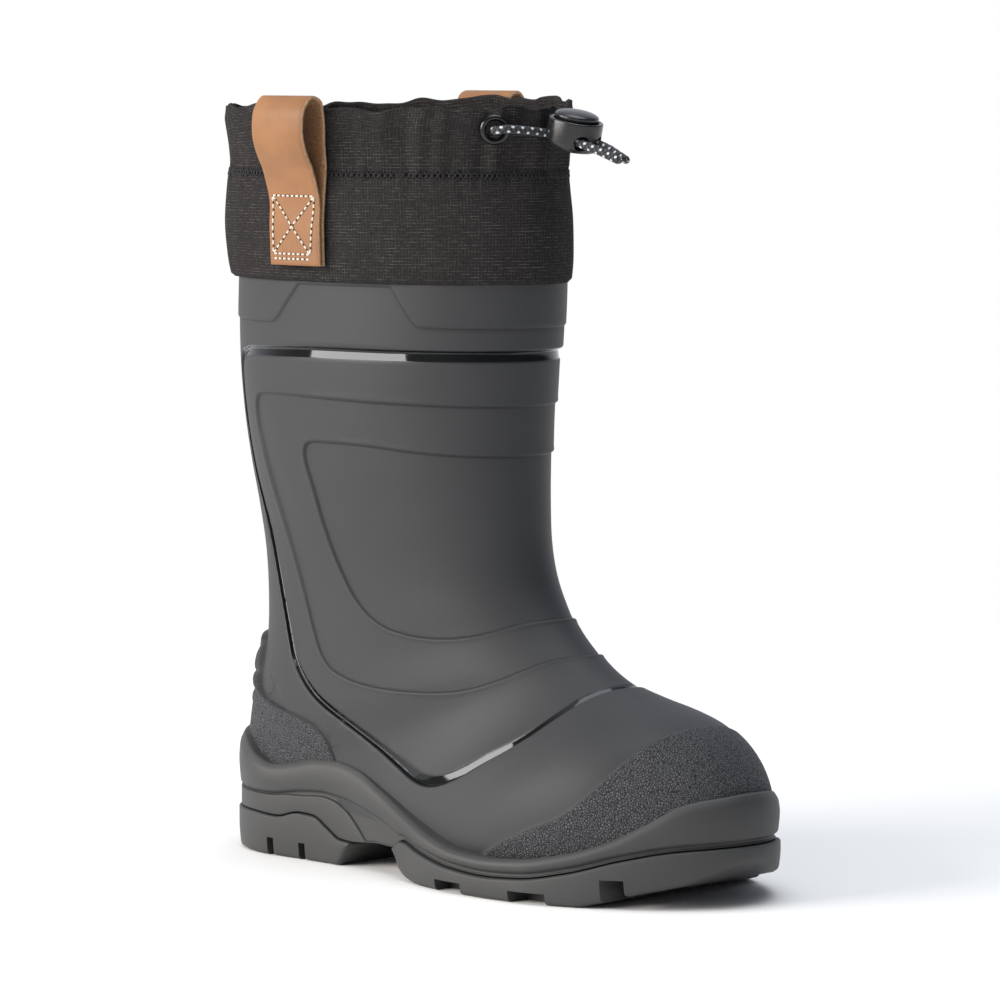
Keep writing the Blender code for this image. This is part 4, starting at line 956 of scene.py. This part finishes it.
def sole_piece(name, xs, profile, look, cuts=(), sharp=38.0):
    """Solid from rows of (offsets, heights, corner radius) along xs, with gaps cut into it."""
    points, rows = [], rounded(profile, len(xs))
    for offset, heights in rows:
        outer, inner = outline_ring(xs, offset)
        points += [np.column_stack([outer, heights]), np.column_stack([inner, heights])[::-1]]
    sole = add_mesh(name, np.vstack(points), folded_faces(len(rows), 2 * len(xs)), look)
    if cuts:
        boolean(sole, cutter(cuts))
    return sharpen(sole, sharp)


def stations(low, high, count, front):
    """Positions along the sole, closer together round the heel or the toe."""
    share = np.linspace(0.0, 1.0, count)
    share = np.sin(0.5 * math.pi * share) if front else 1.0 - np.cos(0.5 * math.pi * share)
    return low + (high - low) * share


def edge_cuts(notches):
    """Blocks that cut lug gaps into both edges of the sole."""
    boxes = []
    for start, end, height, depth in notches:
        middle = np.array([0.5 * (start + end)])
        half, centre = float(sole_half_width(middle)[0]), float(swing(middle, np.zeros(1))[0])
        boxes.append(box(start, end, BELOW, height, -BEYOND, centre - half + depth))
        boxes.append(box(start, end, BELOW, height, centre + half - depth, BEYOND))
    return boxes


def tread_cuts(starts, half_width):
    """Blocks that cut the cross grooves into the sole's underside."""
    length, height = TREAD_GROOVE
    return [box(x, x + length, BELOW, height, -half_width, half_width) for x in starts]


def make_midsole(look):
    """Cup sole with its rolled band; the block under the heel stands proud of the arch."""
    xs = np.concatenate([
        stations(SOLE_BACK, HEEL_END, 60, False)[:-1], np.linspace(HEEL_END, FOREFOOT_START, 24)[:-1],
        stations(FOREFOOT_START, SOLE_FRONT, 90, True),
    ])
    bottom = height_at(MIDSOLE_BOTTOM, xs) + CLEARANCE
    top = height_at(BAND_TOP, xs)
    band = np.maximum(height_at(BAND_BOTTOM, xs), bottom + 1.6)
    step = np.clip(height_at(HEEL_BLOCK_TOP, xs), bottom + 0.5, band - 0.7)
    side = -1.2 - 0.6 * (1.0 - ease(101.0, 96.0, xs))
    return sole_piece("sole_band", xs, (
        (-2.6, bottom, 0.0),
        (side, bottom + 0.3, 0.3),
        (side, step, 0.35),
        (-2.4, step + 0.4, 0.35),
        (-2.4, 0.30 * step + 0.70 * band, 0.8),
        (-2.3, band, 0.8),
        (-0.9, band + 0.9, 1.2),
        (-0.2, 0.50 * band + 0.50 * top, 4.0),
        (-0.8, 0.18 * band + 0.82 * top, 1.4),
        (-2.6, top, 0.7),
        (-8.0, top - 0.4, 0.0),
    ), look, sharp=50.0)


def outsole(name, xs, top, bottom, offsets, bevels, look, cuts):
    """Rubber piece between two side lines, rounded below and bevelled above."""
    top, bottom = height_at(top, xs), height_at(bottom, xs)
    heights = (bottom, bottom + bevels[0], 0.5 * (bottom + top), top - bevels[1], top, top)
    radii = (0.0, 0.8, 2.0, bevels[2], 0.3, 0.0)
    return sole_piece(name, xs, tuple(zip(offsets, heights, radii)), look, cuts)


def make_forefoot(look):
    cuts = edge_cuts(FOREFOOT_NOTCHES) + tread_cuts(*FOREFOOT_TREAD)
    return outsole(
        "forefoot_sole", stations(FOREFOOT_START, SOLE_FRONT, 110, True), FOREFOOT_TOP, FOREFOOT_BOTTOM,
        (-2.0, -0.6, 0.0, 0.0, -0.7, -2.5), (0.9, 0.5, 0.4), look, cuts)


def make_heel(look):
    depth, high, half = REAR_NOTCH_SIZE
    rear = [box(-20.0, depth, height, height + high, -half, half) for height in REAR_NOTCHES]
    return outsole(
        "heel_sole", stations(SOLE_BACK, HEEL_END, 80, False), HEEL_TOP, HEEL_BOTTOM,
        (-2.4, -0.9, -0.3, -0.3, -0.9, -2.6), (1.0, 0.4, 0.3), look,
        edge_cuts(HEEL_NOTCHES) + rear + tread_cuts(*HEEL_TREAD))


def make_foot_bed(look):
    """Moulded foam foot bed: the solid's form with softened edges."""
    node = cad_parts["insole"]
    mesh = node.data.copy()
    mesh.transform(node.matrix_world)
    mesh.materials.clear()
    mesh.materials.append(look)
    item = add_object("foot_bed_pad", mesh)
    remesh = item.modifiers.new("even", "REMESH")
    remesh.mode, remesh.voxel_size, remesh.use_smooth_shade = "VOXEL", BED_VOXEL, True
    soften = item.modifiers.new("soften", "SMOOTH")
    soften.factor, soften.iterations = 0.5, 6
    return item


# ---- collar -----------------------------------------------
def cuff_ring(row, angles):
    """Points round the collar's outer face for one row of its table."""
    front_x, front_z, back_x, back_z, half, front_round, back_round, front_lean = row
    along, across = squared_ring(angles, front_round, back_round)
    lean = np.where(along >= 0.0, 1.0 - (1.0 - front_lean) * along**2, 1.0)
    x = 0.5 * (front_x + back_x) + 0.5 * (front_x - back_x) * along
    z = 0.5 * (front_z + back_z) + 0.5 * (front_z - back_z) * along
    return np.stack([x, half * across - SHAFT_LEAN * lean, z], axis=1)


def cuff_row(z, column):
    """The collar's table between its rows, at a height given for one of its columns."""
    rows = np.asarray(CUFF_SECTIONS)
    return [np.interp(z, rows[:, column], values) for values in rows.T]


def cuff_side(x, z, side):
    """Sideways position of the collar's outer face at x."""
    ring = cuff_ring(cuff_row(z, BACK_Z), side * np.linspace(0.3, 2.8, 200))
    return float(np.interp(-x, -ring[:, 0], ring[:, 1]))


def waves(angle, table):
    """Sum of smooth waves round the boot: (count, size, phase)."""
    return sum(size * np.sin(count * angle + phase) for count, size, phase in table)


def cuff_surface(rows, angles, inset):
    """Collar's face with gathers, moved inwards by inset, for a grid of table rows and angles."""
    result = []
    for row, values in zip(rows, cubic(CUFF_SECTIONS, rows)):
        ring = cuff_ring(values, angles)
        tangent = np.roll(ring, -1, axis=0) - np.roll(ring, 1, axis=0)
        out = unit(np.stack([tangent[:, 1], -tangent[:, 0], np.zeros(len(ring))], axis=1))
        out *= np.sign(((ring - ring.mean(axis=0)) * out).sum(axis=1, keepdims=True))
        channel = ease(SEAM_ROW - 0.1, SEAM_ROW + 0.6, row)
        drawn = 0.25 + 0.95 * ease(-0.1, 0.75, np.cos(angles))
        push = channel * waves(angles, GATHER_WAVES) * drawn
        push = push + hump(row, SEAM_ROW, 0.5) * waves(angles, PUCKER_WAVES) * 0.9
        push = push + 0.7 * (1.0 - channel) * waves(angles, HEM_WAVES)
        push = push - SEAM_PINCH * hump(row, SEAM_ROW, 0.34)
        push = push - HEM_TURN * (1.0 - ease(0.0, 0.22, row)) ** 2
        push = push - RIM_TURN * ease(5.6, CUFF_TOP, row)
        ring = ring + out * (push - inset)[:, None]
        lift = waves(angles, RIM_WAVES) - 0.4
        for middle, spread, out_by, up_by in RIM_BENDS:
            bend = hump(np.mod(angles - middle + math.pi, 2.0 * math.pi) - math.pi, 0.0, spread)
            ring = ring + out * (out_by * ease(4.7, CUFF_TOP, row) * bend)[:, None]
            lift = lift + up_by * bend
        ring[:, 2] += ease(4.4, CUFF_TOP, row) * lift
        result.append(ring)
    return np.array(result)


def make_cuff(look):
    """Cloth sleeve: outer face, rolled rim, inner face and the turned hem."""
    angles = turns(CUFF_COLUMNS)
    rows = np.concatenate([np.linspace(*stretch)[:-1] for stretch in CUFF_ROWS] + [[CUFF_TOP]])
    outer = cuff_surface(rows, angles, 0.0)
    inner_rows = np.concatenate([np.linspace(CUFF_TOP, 5.7, 5), np.linspace(5.6, 0.0, 24)])
    inner = cuff_surface(inner_rows, angles, CUFF_WALL - 0.1)
    inner[0, :, 2] -= 0.1
    over = 0.5 * (outer[-1] + inner[0])
    over[:, 2] += 0.45
    grid = np.concatenate([outer, over[None], inner])
    width = len(angles)
    around = distances(np.vstack([outer[MEASURED_ROW], outer[MEASURED_ROW, :1]]))
    step = np.linalg.norm(np.diff(grid, axis=0), axis=2).mean(axis=1)
    up = np.concatenate([[0.0], np.cumsum(step)])
    # the weave's values meet at the middle of the front: an extra column keeps them whole
    grid = np.concatenate([grid, grid[:, :1]], axis=1)
    faces = grid_faces(len(grid), width + 1).tolist()
    last = (len(grid) - 1) * (width + 1)
    faces += [(last + i, last + i + 1, i + 1, i) for i in range(width)]
    values = {"around": np.tile(around, len(grid)), "up": np.repeat(up, width + 1)}
    return add_mesh("collar", grid.reshape(-1, 3), faces, look, values, (turn_out,))


# ---- pull loops -------------------------------------------
def make_loop(name, side, back, lift, skew, look):
    """Leather strap with rounded cut edges, a smooth outside and a suede inside."""
    path = even_curve(LOOP_PATH, 1.2)
    path[:, 1] += lift * ease(*LOOP_RISE, path[:, 1])
    tangent = unit(np.gradient(path, axis=0))
    across = np.concatenate([[0.0], np.linspace(0.5, LOOP_WIDTH - 0.5, 16), [LOOP_WIDTH]])
    pinch = np.where((across == 0.0) | (across == LOOP_WIDTH), 0.45, 1.0)
    across, pinch = np.append(across, across[::-1]), np.append(-pinch, pinch[::-1])
    share = np.linspace(0.0, 1.0, len(path))
    skew = skew * (ease(0.22, 0.45, share) - ease(0.55, 0.9, share))
    points = []
    for (out, z), (along_out, along_z), forwards in zip(path, tangent, skew):
        for a, p in zip(across, pinch):
            x = back + a + forwards
            y = cuff_side(x, z, side) + side * (out - p * along_z * LOOP_HALF)
            points.append((x, y, z + p * along_out * LOOP_HALF))
    values = {"edge": np.tile(np.abs(pinch) < 1.0, len(path)), "inner": np.tile(pinch > 0.0, len(path))}
    return add_mesh(name, points, folded_faces(len(path), len(across)), look, values)


# ---- eyelets, cord and cord lock --------------------------
def turned(name, profile, sides, look):
    """Solid of revolution round z from a closed profile of (radius, z), about the scene's origin."""
    radius, z = np.asarray(profile, dtype=float).T
    turn = turns(sides)[:, None]
    points = np.stack([radius * np.cos(turn), radius * np.sin(turn), z + 0.0 * turn], axis=2)
    count = len(radius)
    low = np.arange(sides)[:, None] * count + np.arange(count)[None, :]
    right = np.roll(low, -1, axis=1)
    faces = np.stack([low, np.roll(low, -1, axis=0), np.roll(right, -1, axis=0), right], axis=2)
    return add_mesh(name, points.reshape(-1, 3) + ORIGIN, faces.reshape(-1, 4), look)


def placed(item, point, turn):
    """Turn a thing about the scene's origin and set it at a point."""
    item.matrix_world = Matrix.Translation((Vector(point) - Vector(ORIGIN)) * MM) @ turn
    return item


def eyelet_place(side, lift):
    """A point above an eyelet's middle, and the direction out of the collar there."""
    angles = side * np.linspace(0.1, 1.2, 80)
    rises = (0.0, EYELET_OUTER, -EYELET_OUTER)
    here, above, below = (cuff_ring(cuff_row(EYELET_AT[1] + rise, FRONT_Z), angles) for rise in rises)
    index = int(np.argmin(np.abs(np.abs(here[:, 1]) - EYELET_AT[0])))
    run = Vector(here[index + 1] - here[index - 1])
    out = (run.cross(Vector(above[index] - below[index])) * side).normalized()
    return Vector((here[index][0], here[index][1], EYELET_AT[1])) + out * lift, out


def make_eyelet(name, side, look):
    rim, middle = 0.5 * (EYELET_OUTER - EYELET_HOLE), 0.5 * (EYELET_OUTER + EYELET_HOLE)
    angle = np.linspace(0.0, math.pi, 20)
    profile = np.stack([middle + rim * np.cos(angle), EYELET_HEIGHT * np.sin(angle)], axis=1)
    point, out = eyelet_place(side, EYELET_LIFT)
    return placed(turned(name, profile, 64, look), point, out.to_track_quat("Z", "Y").to_matrix().to_4x4())


def make_cord(name, side, look):
    """Round braided cord as a tube, with its length and turn at each point."""
    starts = [tuple(eyelet_place(side, lift)[0]) for lift in CORD_START]
    route = starts + [(x, side * y, z) for x, y, z in CORD_ROUTE]
    path = cubic(route, np.linspace(0.0, len(route) - 1, (len(route) - 1) * 6 + 1))
    tangent = unit(np.gradient(path, axis=0))
    first = unit(np.cross(tangent, (0.0, 0.0, 1.0)))
    second = np.cross(first, tangent)
    turn = np.linspace(0.0, 2.0 * math.pi, CORD_SIDES + 1)
    length = distances(path)
    radius = CORD_RADIUS * (1.0 - 0.35 * np.exp((length - length[-1]) / 0.5))[:, None, None]
    spoke = np.cos(turn)[None, :, None] * first[:, None] + np.sin(turn)[None, :, None] * second[:, None]
    points = (path[:, None] + radius * spoke).reshape(-1, 3)
    values = {"along": np.repeat(length, len(turn)), "turn": np.tile(turn / (2.0 * math.pi), len(path))}
    item = add_mesh(name, points, tube_faces(len(path), CORD_SIDES, seam=1), look, values, (turn_out,))
    return item, (path - ORIGIN) * MM, length[-1] * MM


def make_lock_body(look):
    half = 0.5 * LOCK_HEIGHT
    bore = BUTTON_RADIUS + CLEARANCE
    floor = half - BUTTON_SKIRT - BUTTON_TRAVEL - CLEARANCE
    corners = [np.array(corner) for corner in (
        (0.0, -half), (LOCK_RADIUS - 1.6, -half), (LOCK_RADIUS, -half + 2.4),
        (LOCK_RADIUS, half), (bore, half), (bore, floor), (0.0, floor),
    )]
    profile = corners[:1]
    for before, here, after in zip(corners, corners[1:], corners[2:]):
        profile += round_off(before, here, after, 0.8, np.linspace(0.0, 1.0, 5))
    body = turned("lock_body", profile + corners[-1:], 96, look)
    turn = turns(32)
    front, width, low, high = LOCK_SLOT
    x, y = ORIGIN[0], ORIGIN[1]
    boolean(body, cutter([box(x - 20.0, x + front, low, high, y - width, y + width)]))
    for side in (-1.0, 1.0):
        rings = [np.stack([
            np.full(32, start), side * LOCK_HOLE_AT[0] + LOCK_HOLE_RADIUS * np.cos(turn),
            LOCK_HOLE_AT[1] + LOCK_HOLE_RADIUS * np.sin(turn),
        ], axis=1) + ORIGIN for start in (front - 0.5, 20.0)]
        boolean(body, add_mesh("cutter", np.vstack(rings), tube_faces(2, 32), None))
    body.data.materials.clear()
    body.data.materials.append(look)
    return placed(sharpen(body, 40.0), LOCK_CENTRE, LOCK_TURN)


def make_lock_button(look):
    top, wide, narrow = 0.5 * LOCK_HEIGHT, BUTTON_RADIUS, BUTTON_RADIUS - 0.6
    angle = np.linspace(0.0, 0.5 * math.pi, 10)[1:-1]
    dome = zip(wide * np.cos(angle), top + BUTTON_EDGE + (BUTTON_PROUD - BUTTON_EDGE) * np.sin(angle))
    button = turned("lock_button", [
        (0.0, top - BUTTON_SKIRT), (narrow, top - BUTTON_SKIRT), (narrow, top + 0.1), (wide, top + 0.4),
        (wide, top + BUTTON_EDGE), *dome, (0.0, top + BUTTON_PROUD),
    ], 80, look)
    return placed(button, LOCK_CENTRE, LOCK_TURN)


# ---- stitches ---------------------------------------------
def threads(name, pieces, radius, look):
    """One mesh of short round-ended threads: (start, end, direction out of the cloth)."""
    points, faces = [], []
    turn = turns(8)[:, None]
    for start, end, out in pieces:
        start, end = np.array(start), np.array(end)
        along = unit(end - start)
        wide = unit(np.cross(along, out))
        high = np.cross(wide, along)
        faces += tube_faces(len(THREAD_STOPS), len(turn), len(points))
        for share, size in THREAD_STOPS:
            middle = start + (end - start) * share + high * (0.7 * math.sin(math.pi * share) * radius)
            points += list(middle + radius * size * (np.cos(turn) * wide + np.sin(turn) * high))
    return add_mesh(name, points, faces, look, steps=(turn_out,))


def make_strap_stitches(word, side, back, look, hole_shade_look):
    """Box with a cross in it, and a second row along its lower edge, with dark marks of painted shade for the
    needle's holes.
    """
    foot = even_curve(LOOP_PATH[:4], 0.5)

    def on_strap(across, z):
        out = float(np.interp(z, foot[:, 1], foot[:, 0]))
        return np.array([back + across, cuff_side(back + across, z, side) + side * (out + LOOP_HALF), z])

    stitches, holes = [], []
    for run in STITCH_RUNS:
        start, end = np.array(run)
        count = int(round(np.linalg.norm(end - start) / STITCH_PITCH))
        for found, *shares in ((stitches, 0.16, 0.84), (holes, 0.80, 1.20)):
            for i in range(count):
                a, b = (start + (end - start) * min((i + share) / count, 1.0) for share in shares)
                if np.linalg.norm(b - a) > 0.5:
                    found.append((on_strap(*a), on_strap(*b), (0.0, side, 0.0)))
    return (
        threads("strap_stitches_" + word, stitches, 0.36, look),
        threads("strap_holes_" + word, holes, 0.30, hole_shade_look),
    )


def make_seam_stitches(look):
    """Two crossing zigzags of dark thread along the drawcord channel's seam."""
    front_x, _, back_x, *_ = CUFF_SECTIONS[3]
    angles = turns(2 * STITCH_COUNT) + 0.5 * math.pi / STITCH_COUNT
    low, high = cuff_surface(np.array(STITCH_ROWS), angles, -0.12)
    pieces = []
    for first in (0, 1):
        for i in range(len(angles)):
            j = (i + 1) % len(angles)
            start, end = (low[i], high[j]) if i % 2 == first else (high[i], low[j])
            pieces.append((start, end, unit(np.array((start[0] - 0.5 * (front_x + back_x), start[1], 0.0)))))
    return threads("collar_seam", pieces, 0.24, look)


# ---- the boot ---------------------------------------------
def dress(item, slot, *nodes, body="boot"):
    """Ride a piece on its body and hide the solids that it takes the place of; the slot is not used."""
    if nodes:
        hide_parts(*nodes)
    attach(item, body)
    return item


def make_boot():
    """Every piece of the boot, with its place in the frame."""
    rubber, leather, braid = sole_look(), leather_look(), cord_look()
    lock = plastic_look("lock_plastic", (0.0165, 0.017, 0.0185), 0.24)
    ring = plastic_look("eyelet_lacquer", (0.004, 0.004, 0.005), 0.12)
    thread = thread_look("thread", (0.62, 0.55, 0.45), (0.90, 0.85, 0.76))
    seam = thread_look("seam_thread", (0.004, 0.004, 0.005), (0.018, 0.017, 0.018))
    # painted shade: dark marks standing in for the shade inside the needle holes
    hole = thread_look("needle_hole_shade", (0.035, 0.016, 0.008), (0.07, 0.03, 0.015))
    dress(make_shell(shell_look()), "shell_foam", "upper")
    dress(make_midsole(rubber), "sole_rubber", "midsole")
    dress(make_forefoot(rubber), "sole_rubber", "outsole_forefoot")
    dress(make_heel(rubber), "sole_rubber", "outsole_heel")
    collar = dress(make_cuff(cloth_look()), "collar_cloth", "cuff")
    collar_seam = dress(make_seam_stitches(seam), "collar_cloth")
    for side, word, back, lift, skew in LOOPS:
        dress(make_loop("strap_" + word, side, back, lift, skew, leather), "leather", "pull_loop_" + word)
        for item in make_strap_stitches(word, side, back, thread, hole):
            dress(item, "leather")
        dress(make_eyelet("eyelet_ring_" + word, side, ring), "eyelet_lacquer", "eyelet_" + word)
        cord, path, length = make_cord("cord_" + word, side, braid)
        dress(cord, "cord_braid", "drawcord_" + word)
    dress(make_lock_body(lock), "lock_plastic", "toggle_body")
    dress(make_lock_button(lock), "lock_plastic", "toggle_button", body="button")
    bed = dress(make_foot_bed(bed_look()), "foot_bed", "insole")


# ---- floor, light and camera ------------------------------
def aim(item, location, target):
    """Set a light or the camera at its place and turn it to its target."""
    item.location = location
    item.rotation_mode = "QUATERNION"
    item.rotation_quaternion = (Vector(target) - Vector(location)).to_track_quat("-Z", "Y")


def make_floor():
    mesh = bpy.data.meshes.new("floor")
    rim = [(FLOOR_RADIUS * math.cos(t), FLOOR_RADIUS * math.sin(t), 0.0) for t in turns(96)]
    mesh.from_pydata(rim, [], [range(96)])
    mesh.materials.append(new_look("floor").finish((0.98, 0.965, 0.95), 0.85, None, 0.1))
    add_object("floor", mesh)


def make_light():
    """White room: bright overhead and at the floor's edge, warm at the left, dim and cool at the right."""
    world = bpy.data.worlds.new("studio")
    n = Nodes(world, "Generated")
    x, y, z = (n.node("SeparateXYZ", (n.where,), axis) for axis in range(3))
    across, away = (x + y) * 0.7071, (y - x) * 0.7071
    side = n.mix(n.ramp(across, -0.9, 0.25), WORLD_LEFT, WORLD_RIGHT)
    side = n.mix(n.ramp(away, 0.25, 0.80), side, WORLD_BACK)
    high = n.mix(n.ramp(z, 0.72, 0.96), side, WORLD_TOP)
    n.put(n.tree.nodes["Background"].inputs["Color"], n.mix(n.ramp(z, 0.015, 0.05), (1.0, 1.0, 1.0), high))
    bpy.context.scene.world = world
    for name, location, target, size, power, colour in LIGHTS:
        data = bpy.data.lights.new(name, "AREA")
        data.shape, data.energy, data.color = "RECTANGLE", power, colour
        data.size, data.size_y = size
        aim(add_object(name, data), location, target)


def make_camera():
    data = bpy.data.cameras.new("camera")
    data.lens, data.sensor_width, data.clip_start = CAMERA_LENS, 36.0, 0.05
    camera = add_object("camera", data)
    aim(camera, CAMERA_PLACE, CAMERA_TARGET)
    bpy.context.scene.camera = camera


make_boot()
make_floor()
make_light()
make_camera()
bpy.context.scene.view_settings.view_transform = "Standard"
